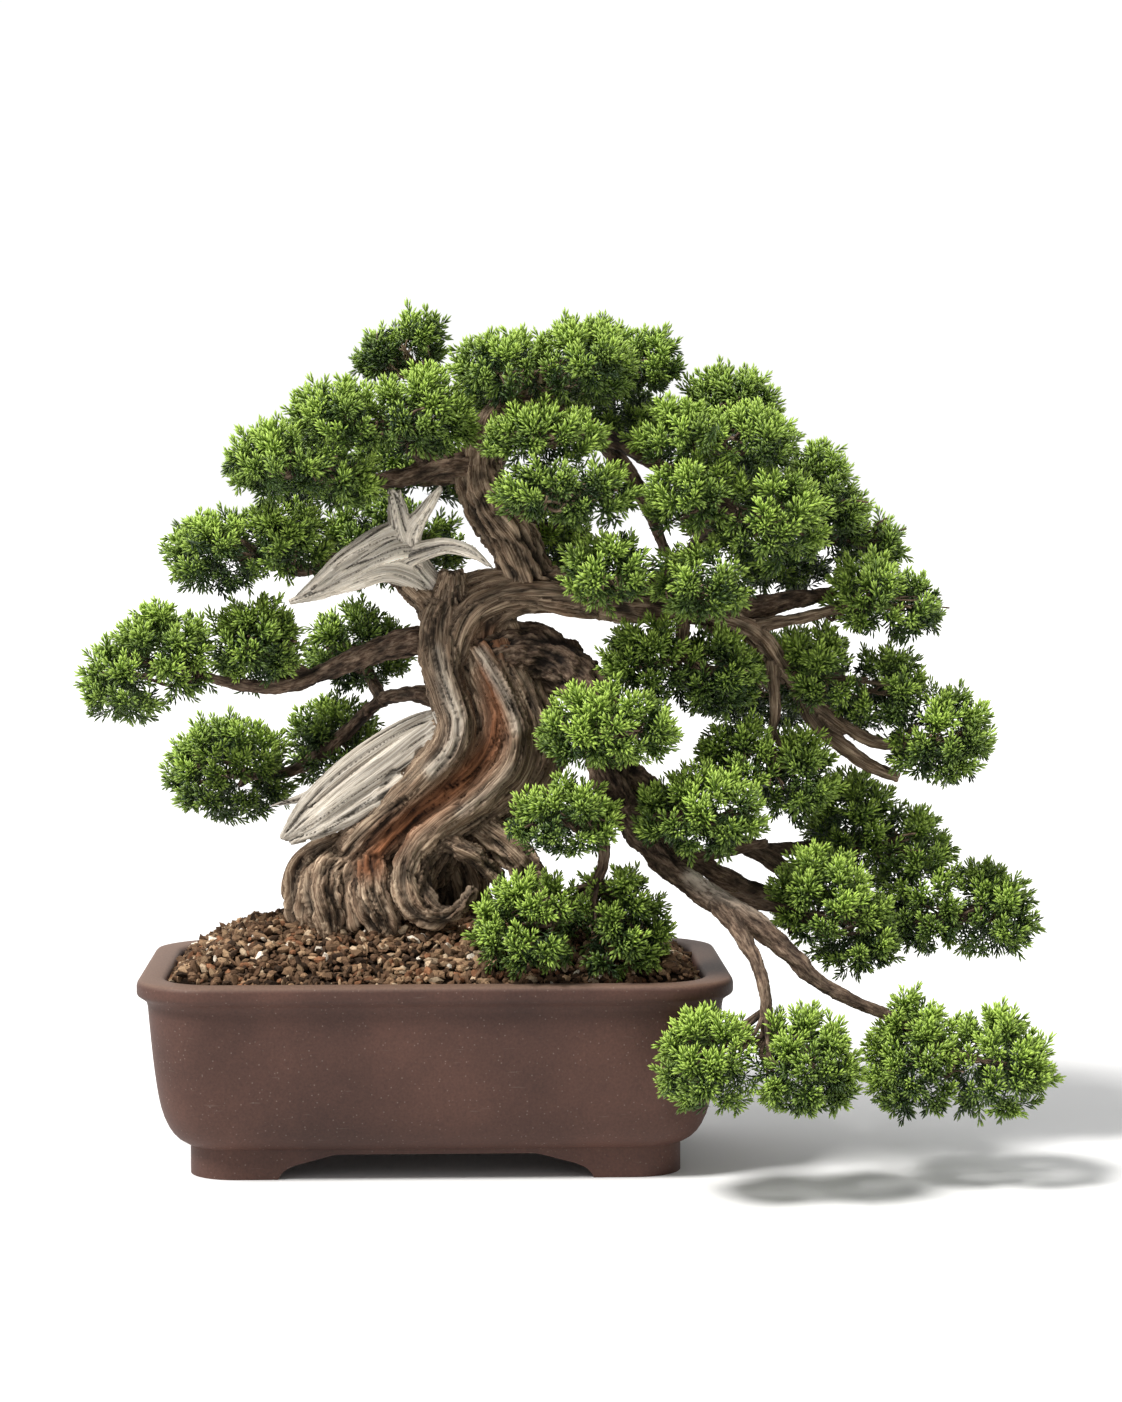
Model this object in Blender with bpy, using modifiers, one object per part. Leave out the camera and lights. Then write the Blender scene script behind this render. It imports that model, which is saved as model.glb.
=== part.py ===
"""Bonsai juniper in an unglazed pot.

A stoneware pot with bracket feet, drainage screens, grit and soil, an old twisted trunk with
its limbs and two pieces of bleached deadwood, and one closed solid for each pad of needles.
Metres, +Z up, +X along the pot towards the drooping limb, the viewing side at -Y.
"""
import math

import bmesh
import bpy
from mathutils import Matrix, Vector

# ---------------------------------------------------------------- driving dimensions
GAP = 0.0004                    # clearance kept between touching pieces

POT_HALF_LENGTH = 0.185         # over the rim
POT_HALF_WIDTH = 0.115
POT_HEIGHT = 0.124
POT_CORNER_RADIUS = 0.045
CORNER_STEPS = 4
FOOT_HEIGHT = 0.019
FOOT_INSET = 0.035
FOOT_WALL = 0.014
ARCH_HEIGHT = 0.0155
ARCH_HALF_LENGTH = 0.094        # front and back arches, at the table
SIDE_ARCH_HALF_LENGTH = 0.040
FLOOR_TOP = 0.031
DRAIN_RADIUS = 0.014
DRAIN_OFFSET = 0.075

SCREEN_SIZE = 0.046
SCREEN_THICKNESS = 0.0016
GRIT_TOP = 0.050
SOIL_EDGE_HEIGHT = 0.1185
SOIL_CROWN = 0.038

PAD_UNDERSIDE = 0.62            # how much flatter a pad is below its middle than above
PAD_GAP = 0.0012                # air between neighbouring pads

# inset from the rim and height, up the outside and down the inside of the pot
POT_OUTSIDE = [(0.0335, 0.019), (0.0275, 0.023), (0.0215, 0.031), (0.0170, 0.043),
               (0.0145, 0.056), (0.0098, 0.095), (0.0080, 0.108), (0.0015, 0.1135),
               (0.0000, 0.116), (0.0000, 0.1215), (0.0022, POT_HEIGHT)]
POT_INSIDE = [(0.0160, POT_HEIGHT), (0.0182, 0.1215), (0.0188, 0.112), (0.0205, 0.094),
              (0.0255, 0.056), (0.0295, 0.044), (0.0385, 0.034), (0.0490, FLOOR_TOP)]

# foliage pads: centre, then half-sizes
PADS = {
    "pad_crown_back_left": [((-0.031, 0.055, 0.511), (0.025, 0.042, 0.022)),
                            ((-0.009, 0.050, 0.520), (0.019, 0.038, 0.025))],
    "pad_crown_left": [((-0.059, -0.030, 0.466), (0.037, 0.056, 0.032)),
                       ((-0.009, -0.022, 0.468), (0.038, 0.058, 0.039))],
    "pad_shoulder_left": [((-0.095, -0.045, 0.438), (0.037, 0.050, 0.033)),
                          ((-0.058, -0.030, 0.430), (0.027, 0.045, 0.024))],
    "pad_upper_left": [((-0.137, -0.010, 0.381), (0.036, 0.055, 0.035)),
                       ((-0.095, -0.005, 0.390), (0.032, 0.052, 0.036))],
    "pad_left_tip": [((-0.191, -0.045, 0.302), (0.031, 0.045, 0.035)),
                     ((-0.169, -0.035, 0.316), (0.037, 0.050, 0.043))],
    "pad_left_inner": [((-0.114, -0.015, 0.323), (0.032, 0.048, 0.040))],
    "pad_low_left": [((-0.135, 0.070, 0.235), (0.045, 0.052, 0.047))],
    "pad_low_left_inner": [((-0.068, 0.095, 0.251), (0.036, 0.048, 0.042))],
    "pad_back_left_low": [((-0.052, 0.100, 0.315), (0.039, 0.045, 0.038))],
    "pad_back_left_mid": [((-0.030, 0.080, 0.385), (0.053, 0.050, 0.040))],
    "pad_apex": [((0.044, -0.012, 0.498), (0.035, 0.060, 0.031)),
                 ((0.091, -0.008, 0.499), (0.040, 0.066, 0.037))],
    "pad_apex_right": [((0.109, 0.055, 0.511), (0.025, 0.048, 0.030)),
                       ((0.140, 0.050, 0.505), (0.022, 0.045, 0.029))],
    "pad_front_high": [((0.068, -0.055, 0.455), (0.042, 0.042, 0.025))],
    "pad_front_high_low": [((0.081, -0.070, 0.422), (0.046, 0.045, 0.031))],
    "pad_crown_right": [((0.157, -0.035, 0.456), (0.035, 0.055, 0.029)),
                        ((0.198, -0.030, 0.450), (0.032, 0.055, 0.032))],
    "pad_crown_right_back": [((0.192, 0.045, 0.477), (0.035, 0.052, 0.032))],
    "pad_right_shoulder": [((0.159, -0.060, 0.418), (0.032, 0.042, 0.035)),
                           ((0.206, -0.050, 0.401), (0.041, 0.050, 0.046))],
    "pad_right_high_back": [((0.248, 0.030, 0.427), (0.023, 0.048, 0.033)),
                            ((0.258, 0.032, 0.407), (0.022, 0.046, 0.032))],
    "pad_right_high_tip": [((0.269, 0.055, 0.394), (0.020, 0.044, 0.029)),
                           ((0.292, 0.060, 0.388), (0.019, 0.042, 0.022))],
    "pad_right_tip": [((0.278, 0.000, 0.352), (0.029, 0.050, 0.036)),
                      ((0.302, 0.005, 0.346), (0.024, 0.046, 0.030))],
    "pad_front_mid": [((0.106, -0.080, 0.372), (0.030, 0.040, 0.032))],
    "pad_front_mid_right": [((0.165, -0.065, 0.364), (0.033, 0.045, 0.035))],
    "pad_centre_right": [((0.134, -0.030, 0.313), (0.033, 0.050, 0.036)),
                         ((0.175, -0.025, 0.304), (0.033, 0.052, 0.038))],
    "pad_front_centre": [((0.105, -0.085, 0.275), (0.047, 0.046, 0.034))],
    "pad_right_mid": [((0.248, 0.010, 0.304), (0.036, 0.055, 0.040)),
                      ((0.288, 0.008, 0.289), (0.034, 0.055, 0.043))],
    "pad_right_mid_tip": [((0.321, -0.010, 0.263), (0.038, 0.050, 0.042))],
    "pad_right_inner": [((0.193, -0.025, 0.250), (0.032, 0.050, 0.036)),
                        ((0.229, -0.020, 0.239), (0.029, 0.050, 0.039))],
    "pad_right_inner_low": [((0.163, -0.080, 0.221), (0.044, 0.042, 0.037))],
    "pad_front_low": [((0.079, -0.098, 0.221), (0.036, 0.036, 0.032))],
    "pad_over_soil": [((0.060, -0.078, 0.151), (0.041, 0.044, 0.042)),
                      ((0.111, -0.072, 0.150), (0.037, 0.044, 0.046))],
    "pad_right_low": [((0.272, 0.035, 0.202), (0.032, 0.058, 0.044)),
                      ((0.309, 0.032, 0.182), (0.032, 0.058, 0.041))],
    "pad_right_low_tip": [((0.316, 0.008, 0.153), (0.034, 0.052, 0.042)),
                          ((0.358, 0.010, 0.147), (0.034, 0.052, 0.039))],
    "pad_cascade_upper": [((0.242, -0.060, 0.165), (0.036, 0.048, 0.042)),
                          ((0.261, -0.055, 0.146), (0.032, 0.048, 0.041))],
    "pad_cascade_inner": [((0.164, -0.155, 0.078), (0.036, 0.046, 0.041)),
                          ((0.218, -0.152, 0.077), (0.039, 0.048, 0.043))],
    "pad_cascade_tip": [((0.293, -0.105, 0.070), (0.032, 0.052, 0.050)),
                        ((0.342, -0.103, 0.065), (0.041, 0.054, 0.046))],
    "pad_back_crown": [((0.061, 0.125, 0.487), (0.051, 0.050, 0.036)),
                       ((0.120, 0.100, 0.473), (0.037, 0.045, 0.031))],
    "pad_back_left": [((-0.077, 0.120, 0.435), (0.047, 0.050, 0.038)),
                      ((-0.019, 0.105, 0.434), (0.048, 0.045, 0.039))],
    "pad_back_centre": [((0.077, 0.120, 0.392), (0.029, 0.045, 0.052)),
                        ((0.137, 0.105, 0.397), (0.034, 0.045, 0.036))],
    "pad_back_right": [((0.196, 0.120, 0.416), (0.044, 0.052, 0.044)),
                       ((0.233, 0.085, 0.375), (0.035, 0.042, 0.030))],
    "pad_back_right_low": [((0.230, 0.115, 0.287), (0.051, 0.052, 0.046))],
}

# the trunk's line from inside the soil to its fork: place and radius
TRUNK_VEINS = [                 # a core and the living veins wound round it
    [(-0.033, 0.006, 0.143, 0.0280), (-0.027, 0.008, 0.175, 0.0270), (-0.013, 0.004, 0.198, 0.0255),
     (0.011, 0.002, 0.220, 0.0215), (0.030, 0.002, 0.239, 0.0205), (0.039, 0.002, 0.258, 0.0190),
     (0.036, 0.002, 0.279, 0.0170), (0.026, 0.002, 0.298, 0.0155), (0.017, 0.002, 0.317, 0.0145),
     (0.013, 0.002, 0.337, 0.0145), (0.017, 0.002, 0.353, 0.0135), (0.036, 0.002, 0.361, 0.0130),
     (0.064, 0.002, 0.362, 0.0120)],
    [(0.010, -0.008, 0.359, 0.0095), (0.004, -0.012, 0.343, 0.0110), (0.002, -0.014, 0.328, 0.0115),
     (0.004, -0.018, 0.311, 0.0115), (0.009, -0.024, 0.293, 0.0120), (0.013, -0.028, 0.278, 0.0125),
     (0.009, -0.031, 0.262, 0.0125), (-0.003, -0.033, 0.248, 0.0125), (-0.016, -0.034, 0.236, 0.0125),
     (-0.030, -0.034, 0.223, 0.0120), (-0.043, -0.034, 0.211, 0.0115), (-0.054, -0.032, 0.198, 0.0095)],
    [(0.027, -0.016, 0.327, 0.0050), (0.035, -0.022, 0.313, 0.0065), (0.043, -0.027, 0.297, 0.0070),
     (0.050, -0.029, 0.281, 0.0075), (0.051, -0.031, 0.265, 0.0075), (0.046, -0.032, 0.250, 0.0075),
     (0.032, -0.034, 0.236, 0.0070), (0.017, -0.036, 0.225, 0.0070), (0.001, -0.039, 0.214, 0.0070),
     (-0.012, -0.042, 0.203, 0.0070), (-0.019, -0.045, 0.189, 0.0075), (-0.019, -0.047, 0.176, 0.0075),
     (-0.014, -0.048, 0.164, 0.0070), (-0.004, -0.050, 0.158, 0.0055), (0.008, -0.052, 0.159, 0.0045),
     (0.017, -0.052, 0.167, 0.0035), (0.024, -0.050, 0.176, 0.0030)],
    [(0.041, 0.002, 0.340, 0.0095), (0.051, 0.004, 0.320, 0.0100), (0.061, 0.004, 0.298, 0.0110),
     (0.069, 0.004, 0.277, 0.0110), (0.072, 0.004, 0.258, 0.0115), (0.063, 0.002, 0.238, 0.0115),
     (0.048, 0.000, 0.222, 0.0115), (0.033, -0.006, 0.211, 0.0115), (0.027, -0.012, 0.202, 0.0095)],
    [(0.003, 0.030, 0.133, 0.0155), (0.009, 0.030, 0.166, 0.0170), (0.029, 0.024, 0.198, 0.0180),
     (0.045, 0.016, 0.225, 0.0165), (0.049, 0.014, 0.252, 0.0140), (0.042, 0.014, 0.281, 0.0140),
     (0.029, 0.014, 0.304, 0.0130), (0.020, 0.014, 0.330, 0.0130), (0.019, 0.012, 0.355, 0.0115)],
    [(-0.059, 0.026, 0.134, 0.0140), (-0.052, 0.026, 0.173, 0.0170), (-0.030, 0.026, 0.203, 0.0180),
     (-0.004, 0.024, 0.226, 0.0170), (0.016, 0.022, 0.252, 0.0155), (0.015, 0.020, 0.284, 0.0140),
     (0.008, 0.018, 0.310, 0.0130), (0.004, 0.016, 0.336, 0.0115), (0.006, 0.012, 0.355, 0.0095)],
    [(0.011, -0.012, 0.313, 0.0075), (0.013, -0.014, 0.328, 0.0090), (0.018, -0.014, 0.341, 0.0095),
     (0.027, -0.012, 0.351, 0.0095), (0.041, -0.010, 0.357, 0.0095), (0.060, -0.010, 0.359, 0.0095),
     (0.083, -0.010, 0.357, 0.0095), (0.105, -0.010, 0.354, 0.0085)],
]
ROOTS = [                       # spreading roots, then two old branch stubs
    [(0.021, -0.018, 0.220, 0.0080), (0.033, -0.024, 0.211, 0.0095), (0.045, -0.027, 0.201, 0.0100),
     (0.054, -0.029, 0.191, 0.0095), (0.062, -0.030, 0.179, 0.0080), (0.067, -0.030, 0.164, 0.0070),
     (0.070, -0.030, 0.141, 0.0050)],
    [(-0.039, -0.018, 0.207, 0.0095), (-0.057, -0.020, 0.200, 0.0090), (-0.074, -0.022, 0.198, 0.0075),
     (-0.086, -0.023, 0.190, 0.0070), (-0.091, -0.023, 0.178, 0.0070), (-0.090, -0.023, 0.163, 0.0075),
     (-0.087, -0.022, 0.141, 0.0070)],
    [(-0.057, -0.028, 0.194, 0.0090), (-0.068, -0.036, 0.185, 0.0105), (-0.071, -0.040, 0.174, 0.0120),
     (-0.068, -0.040, 0.161, 0.0115), (-0.066, -0.038, 0.143, 0.0080)],
    [(-0.039, -0.026, 0.200, 0.0100), (-0.041, -0.038, 0.186, 0.0115), (-0.040, -0.042, 0.172, 0.0125),
     (-0.035, -0.042, 0.159, 0.0120), (-0.028, -0.040, 0.143, 0.0090)],
    [(0.010, -0.004, 0.348, 0.0110), (0.008, -0.010, 0.359, 0.0110), (0.010, -0.014, 0.369, 0.0095),
     (0.010, -0.015, 0.375, 0.0075)],
    [(0.004, -0.002, 0.342, 0.0110), (-0.004, -0.006, 0.353, 0.0095), (-0.013, -0.012, 0.362, 0.0080),
     (-0.020, -0.018, 0.369, 0.0075)],
]

# limbs: tapering lines, the first of each set is the limb and the rest are its side branches
LIMBS = {
    "limb_leader": [
        [(0.060, 0.000, 0.366, 0.017), (0.050, 0.004, 0.392, 0.017), (0.034, 0.006, 0.416, 0.0155),
         (0.028, 0.004, 0.440, 0.0135), (0.034, 0.000, 0.464, 0.010), (0.048, -0.002, 0.486, 0.007),
         (0.062, -0.006, 0.500, 0.005)],
        [(0.030, 0.002, 0.452, 0.006), (0.006, 0.022, 0.482, 0.004), (-0.014, 0.042, 0.508, 0.003)],
        [(0.042, 0.000, 0.478, 0.006), (0.080, 0.022, 0.490, 0.004), (0.112, 0.046, 0.502, 0.003)],
        [(0.038, -0.002, 0.472, 0.005), (0.052, -0.030, 0.466, 0.004), (0.062, -0.046, 0.460, 0.003)],
        [(0.036, 0.004, 0.412, 0.006), (0.058, -0.030, 0.420, 0.0045), (0.074, -0.060, 0.422, 0.003)],
    ],
    "limb_left_high": [
        [(0.027, 0.003, 0.442, 0.009), (0.003, -0.004, 0.440, 0.0075), (-0.022, -0.012, 0.433, 0.006),
         (-0.052, -0.022, 0.429, 0.005), (-0.070, -0.032, 0.433, 0.004), (-0.082, -0.040, 0.440, 0.003)],
        [(0.000, -0.004, 0.440, 0.005), (-0.020, -0.016, 0.456, 0.0038), (-0.036, -0.026, 0.472, 0.003)],
    ],
    "limb_left_upper": [
        [(-0.010, 0.010, 0.362, 0.009), (-0.030, 0.028, 0.374, 0.007), (-0.057, 0.028, 0.381, 0.0055),
         (-0.086, 0.012, 0.374, 0.0045), (-0.112, -0.006, 0.384, 0.003)],
        [(-0.030, 0.026, 0.373, 0.005), (-0.033, 0.052, 0.380, 0.004), (-0.031, 0.074, 0.388, 0.003)],
    ],
    "limb_left_middle": [
        [(0.002, 0.000, 0.330, 0.011), (-0.020, -0.002, 0.328, 0.009), (-0.043, -0.004, 0.321, 0.0075),
         (-0.073, -0.012, 0.309, 0.006), (-0.100, -0.022, 0.302, 0.005), (-0.134, -0.032, 0.306, 0.0035),
         (-0.166, -0.038, 0.318, 0.0025)],
        [(-0.078, -0.013, 0.308, 0.004), (-0.098, -0.014, 0.318, 0.0035), (-0.110, -0.015, 0.330, 0.0028)],
    ],
    "limb_left_low": [
        [(0.010, 0.004, 0.290, 0.010), (-0.012, 0.022, 0.294, 0.008), (-0.036, 0.046, 0.288, 0.0065),
         (-0.064, 0.064, 0.262, 0.005), (-0.096, 0.072, 0.240, 0.004), (-0.124, 0.072, 0.240, 0.003)],
        [(-0.044, 0.052, 0.281, 0.0045), (-0.058, 0.076, 0.268, 0.0035), (-0.066, 0.088, 0.262, 0.0028)],
        [(-0.034, 0.044, 0.289, 0.0045), (-0.044, 0.072, 0.306, 0.0038), (-0.049, 0.092, 0.324, 0.003)],
    ],
    "limb_crown_right": [
        [(0.044, -0.001, 0.480, 0.0065), (0.083, -0.006, 0.472, 0.006), (0.108, -0.014, 0.460, 0.0055),
         (0.132, -0.024, 0.446, 0.005), (0.164, -0.032, 0.428, 0.0042), (0.200, -0.044, 0.408, 0.003)],
        [(0.126, -0.022, 0.450, 0.0042), (0.152, -0.028, 0.458, 0.0035), (0.172, -0.033, 0.463, 0.003)],
        [(0.120, -0.019, 0.453, 0.0042), (0.152, 0.012, 0.466, 0.0035), (0.182, 0.036, 0.480, 0.003)],
    ],
    "limb_right_middle": [
        [(0.066, 0.000, 0.364, 0.0145), (0.086, -0.003, 0.361, 0.013), (0.108, -0.007, 0.356, 0.0115),
         (0.134, -0.012, 0.352, 0.0095), (0.168, -0.012, 0.348, 0.008), (0.203, -0.008, 0.335, 0.007),
         (0.227, -0.004, 0.305, 0.006), (0.252, 0.000, 0.282, 0.005), (0.282, -0.003, 0.264, 0.004),
         (0.312, -0.009, 0.262, 0.003)],
        [(0.196, -0.009, 0.338, 0.005), (0.232, -0.004, 0.344, 0.004), (0.276, 0.000, 0.354, 0.003)],
        [(0.226, -0.004, 0.306, 0.0045), (0.244, 0.004, 0.303, 0.0036), (0.260, 0.009, 0.306, 0.003)],
        [(0.215, -0.006, 0.320, 0.0045), (0.216, -0.018, 0.284, 0.0036), (0.211, -0.024, 0.262, 0.003)],
        [(0.158, -0.012, 0.350, 0.005), (0.156, -0.026, 0.332, 0.0038), (0.154, -0.030, 0.320, 0.003)],
        [(0.146, -0.012, 0.351, 0.0048), (0.158, -0.038, 0.356, 0.0038), (0.163, -0.058, 0.364, 0.003)],
        [(0.112, -0.007, 0.356, 0.0055), (0.107, -0.042, 0.362, 0.004), (0.104, -0.070, 0.371, 0.003)],
        [(0.170, -0.010, 0.347, 0.006), (0.188, 0.030, 0.330, 0.005), (0.206, 0.070, 0.308, 0.004),
         (0.224, 0.106, 0.294, 0.003)],
    ],
    "limb_right_upper": [
        [(0.128, -0.010, 0.353, 0.0085), (0.150, 0.006, 0.372, 0.007), (0.182, 0.016, 0.396, 0.0055),
         (0.216, 0.024, 0.412, 0.0042), (0.240, 0.029, 0.426, 0.003)],
        [(0.206, 0.022, 0.408, 0.004), (0.240, 0.040, 0.398, 0.0035), (0.270, 0.052, 0.396, 0.003)],
        [(0.160, 0.010, 0.380, 0.005), (0.176, 0.060, 0.396, 0.004), (0.192, 0.106, 0.414, 0.003)],
    ],
    "limb_cascade": [
        [(0.026, 0.000, 0.318, 0.021), (0.050, 0.004, 0.322, 0.020), (0.072, 0.002, 0.318, 0.019),
         (0.096, -0.006, 0.300, 0.0185), (0.107, -0.018, 0.272, 0.018), (0.110, -0.032, 0.244, 0.0165),
         (0.130, -0.052, 0.208, 0.0125), (0.160, -0.077, 0.180, 0.009), (0.190, -0.095, 0.164, 0.0075),
         (0.217, -0.106, 0.142, 0.006), (0.233, -0.111, 0.126, 0.005), (0.255, -0.113, 0.114, 0.0042),
         (0.282, -0.110, 0.102, 0.0036), (0.312, -0.106, 0.084, 0.003)],
        [(0.170, -0.083, 0.175, 0.006), (0.187, -0.113, 0.154, 0.005), (0.197, -0.138, 0.130, 0.004),
         (0.198, -0.150, 0.098, 0.003)],
        [(0.107, -0.022, 0.268, 0.007), (0.106, -0.050, 0.268, 0.005), (0.104, -0.078, 0.276, 0.0035)],
        [(0.118, -0.042, 0.226, 0.006), (0.140, -0.062, 0.222, 0.0045), (0.159, -0.076, 0.226, 0.003)],
        [(0.110, -0.034, 0.240, 0.006), (0.096, -0.070, 0.224, 0.0045), (0.084, -0.092, 0.220, 0.003)],
        [(0.098, -0.064, 0.226, 0.0045), (0.104, -0.078, 0.200, 0.0038), (0.096, -0.078, 0.174, 0.003)],
        [(0.166, -0.080, 0.177, 0.005), (0.204, -0.072, 0.168, 0.004), (0.240, -0.062, 0.160, 0.003)],
    ],
    "limb_right_low": [
        [(0.108, -0.024, 0.256, 0.013), (0.128, -0.022, 0.240, 0.0105), (0.152, -0.016, 0.224, 0.0085),
         (0.180, -0.008, 0.208, 0.007), (0.210, -0.004, 0.192, 0.006), (0.238, 0.000, 0.172, 0.005),
         (0.270, 0.004, 0.150, 0.004), (0.304, 0.008, 0.144, 0.0035), (0.334, 0.010, 0.152, 0.003)],
        [(0.206, -0.004, 0.194, 0.005), (0.244, 0.014, 0.196, 0.004), (0.282, 0.030, 0.200, 0.003)],
    ],
    "limb_back_high": [
        [(0.034, 0.006, 0.424, 0.009), (0.038, 0.040, 0.438, 0.0065), (0.048, 0.084, 0.466, 0.0045),
         (0.053, 0.116, 0.486, 0.003)],
        [(0.037, 0.036, 0.436, 0.005), (-0.010, 0.078, 0.432, 0.004), (-0.064, 0.112, 0.436, 0.003)],
        [(0.036, 0.026, 0.432, 0.005), (0.056, 0.074, 0.412, 0.004), (0.070, 0.108, 0.400, 0.003)],
    ],
}

DEADWOOD_UPPER = [
    [(-0.004, -0.008, 0.362, 0.0075), (-0.019, -0.022, 0.373, 0.0090), (-0.034, -0.030, 0.376, 0.0090),
     (-0.053, -0.035, 0.369, 0.0070), (-0.073, -0.037, 0.361, 0.0040), (-0.091, -0.038, 0.355, 0.0015)],
    [(-0.011, -0.018, 0.387, 0.0075), (-0.024, -0.028, 0.388, 0.0090), (-0.041, -0.034, 0.381, 0.0080),
     (-0.058, -0.038, 0.372, 0.0065), (-0.075, -0.039, 0.362, 0.0030), (-0.091, -0.039, 0.356, 0.0015)],
    [(-0.017, -0.022, 0.387, 0.0080), (-0.022, -0.028, 0.401, 0.0075), (-0.024, -0.031, 0.412, 0.0065),
     (-0.026, -0.032, 0.421, 0.0045), (-0.028, -0.032, 0.426, 0.0025)],
    [(-0.017, -0.022, 0.387, 0.0080), (-0.014, -0.028, 0.401, 0.0070), (-0.007, -0.031, 0.412, 0.0050),
     (-0.001, -0.033, 0.421, 0.0035), (0.004, -0.034, 0.428, 0.0015)],
    [(-0.019, -0.022, 0.383, 0.0080), (-0.006, -0.030, 0.388, 0.0065), (0.008, -0.036, 0.391, 0.0050),
     (0.021, -0.040, 0.388, 0.0040), (0.030, -0.042, 0.382, 0.0025), (0.037, -0.042, 0.376, 0.0010)],
    [(0.007, -0.004, 0.358, 0.0090), (-0.002, -0.010, 0.366, 0.0090), (-0.013, -0.018, 0.378, 0.0095)],
]
DEADWOOD_LOWER = [
    [(0.013, -0.014, 0.279, 0.0075), (-0.007, -0.024, 0.270, 0.0090), (-0.029, -0.032, 0.254, 0.0095),
     (-0.054, -0.038, 0.237, 0.0080), (-0.074, -0.042, 0.222, 0.0065), (-0.095, -0.045, 0.207, 0.0020)],
    [(0.008, -0.012, 0.284, 0.0055), (-0.013, -0.022, 0.278, 0.0065), (-0.038, -0.030, 0.264, 0.0070),
     (-0.063, -0.036, 0.246, 0.0065), (-0.082, -0.040, 0.228, 0.0050), (-0.097, -0.044, 0.208, 0.0015)],
    [(0.011, -0.016, 0.264, 0.0065), (-0.007, -0.026, 0.252, 0.0075), (-0.029, -0.034, 0.237, 0.0075),
     (-0.052, -0.040, 0.223, 0.0065), (-0.072, -0.044, 0.213, 0.0045), (-0.091, -0.046, 0.205, 0.0015)],
    [(-0.022, -0.024, 0.266, 0.0050), (-0.048, -0.028, 0.252, 0.0045), (-0.070, -0.030, 0.239, 0.0040),
     (-0.085, -0.031, 0.232, 0.0030), (-0.103, -0.032, 0.227, 0.0010)],
]
DEADWOOD_FLATNESS = 0.55        # depth of a deadwood blade against its height

# ---------------------------------------------------------------- collections and colours
for leftover in list(bpy.data.objects):
    bpy.data.objects.remove(leftover)
parts = bpy.data.collections.new("bonsai_in_pot")
cutters = bpy.data.collections.new("cutters")
bpy.context.scene.collection.children.link(parts)
bpy.context.scene.collection.children.link(cutters)


def plain_material(name, colour, roughness=0.8):
    material = bpy.data.materials.new(name)
    material.use_nodes = True
    shader = material.node_tree.nodes["Principled BSDF"]
    shader.inputs["Base Color"].default_value = (*colour, 1.0)
    shader.inputs["Roughness"].default_value = roughness
    return material


def add_part(name, mesh, colour, roughness=0.8):
    mesh.materials.clear()
    mesh.materials.append(plain_material(name, colour, roughness))
    part = bpy.data.objects.new(name, mesh)
    parts.objects.link(part)
    return part


def add_cutter(name, mesh):
    cutter = bpy.data.objects.new(name, mesh)
    cutters.objects.link(cutter)
    cutter.hide_render = True
    cutter.display_type = "WIRE"
    return cutter


def mesh_of(bm, name):
    mesh = bpy.data.meshes.new(name)
    bm.to_mesh(mesh)
    bm.free()
    return mesh


def combined(mesh, others, operation, name):
    """The mesh after one exact Boolean with each of the others in turn."""
    work = bpy.data.objects.new(name, mesh)
    cutters.objects.link(work)
    tools = []
    for number, other in enumerate(others):
        tool = bpy.data.objects.new(f"{name}_tool_{number}", other)
        cutters.objects.link(tool)
        step = work.modifiers.new(f"step_{number}", "BOOLEAN")
        step.operation = operation
        step.solver = "EXACT"
        step.object = tool
        tools.append(tool)
    graph = bpy.context.evaluated_depsgraph_get()
    result = bpy.data.meshes.new_from_object(work.evaluated_get(graph))
    result.name = name
    for used in [work, *tools]:
        bpy.data.objects.remove(used)
    return result


def largest_piece(mesh, name):
    """Keeps the biggest connected body of a mesh that a cut may have divided."""
    bm = bmesh.new()
    bm.from_mesh(mesh)
    bmesh.ops.remove_doubles(bm, verts=bm.verts, dist=0.00001)
    bmesh.ops.dissolve_degenerate(bm, edges=bm.edges, dist=0.00001)
    bmesh.ops.triangulate(bm, faces=bm.faces)
    unseen = set(bm.verts)
    bodies = []
    while unseen:
        reached = {unseen.pop()}
        edge_of_search = list(reached)
        while edge_of_search:
            vert = edge_of_search.pop()
            for edge in vert.link_edges:
                other = edge.other_vert(vert)
                if other in unseen:
                    unseen.discard(other)
                    reached.add(other)
                    edge_of_search.append(other)
        bodies.append(reached)
    bodies.sort(key=len, reverse=True)
    for body in bodies[1:]:
        bmesh.ops.delete(bm, geom=list(body), context="VERTS")
    return mesh_of(bm, name)


# ---------------------------------------------------------------- tapering tubes
def smooth_line(points, steps):
    """Catmull-Rom points through a line of (x, y, z, radius)."""
    line = [Vector(point) for point in points]
    ends = [2 * line[0] - line[1], *line, 2 * line[-1] - line[-2]]
    smooth = []
    for before, start, stop, after in zip(ends, ends[1:], ends[2:], ends[3:]):
        for step in range(steps):
            t = step / steps
            smooth.append(0.5 * (2 * start + (stop - before) * t
                                 + (2 * before - 5 * start + 4 * stop - after) * t * t
                                 + (3 * start - 3 * stop + after - before) * t * t * t))
    smooth.append(line[-1].copy())
    return smooth


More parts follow.
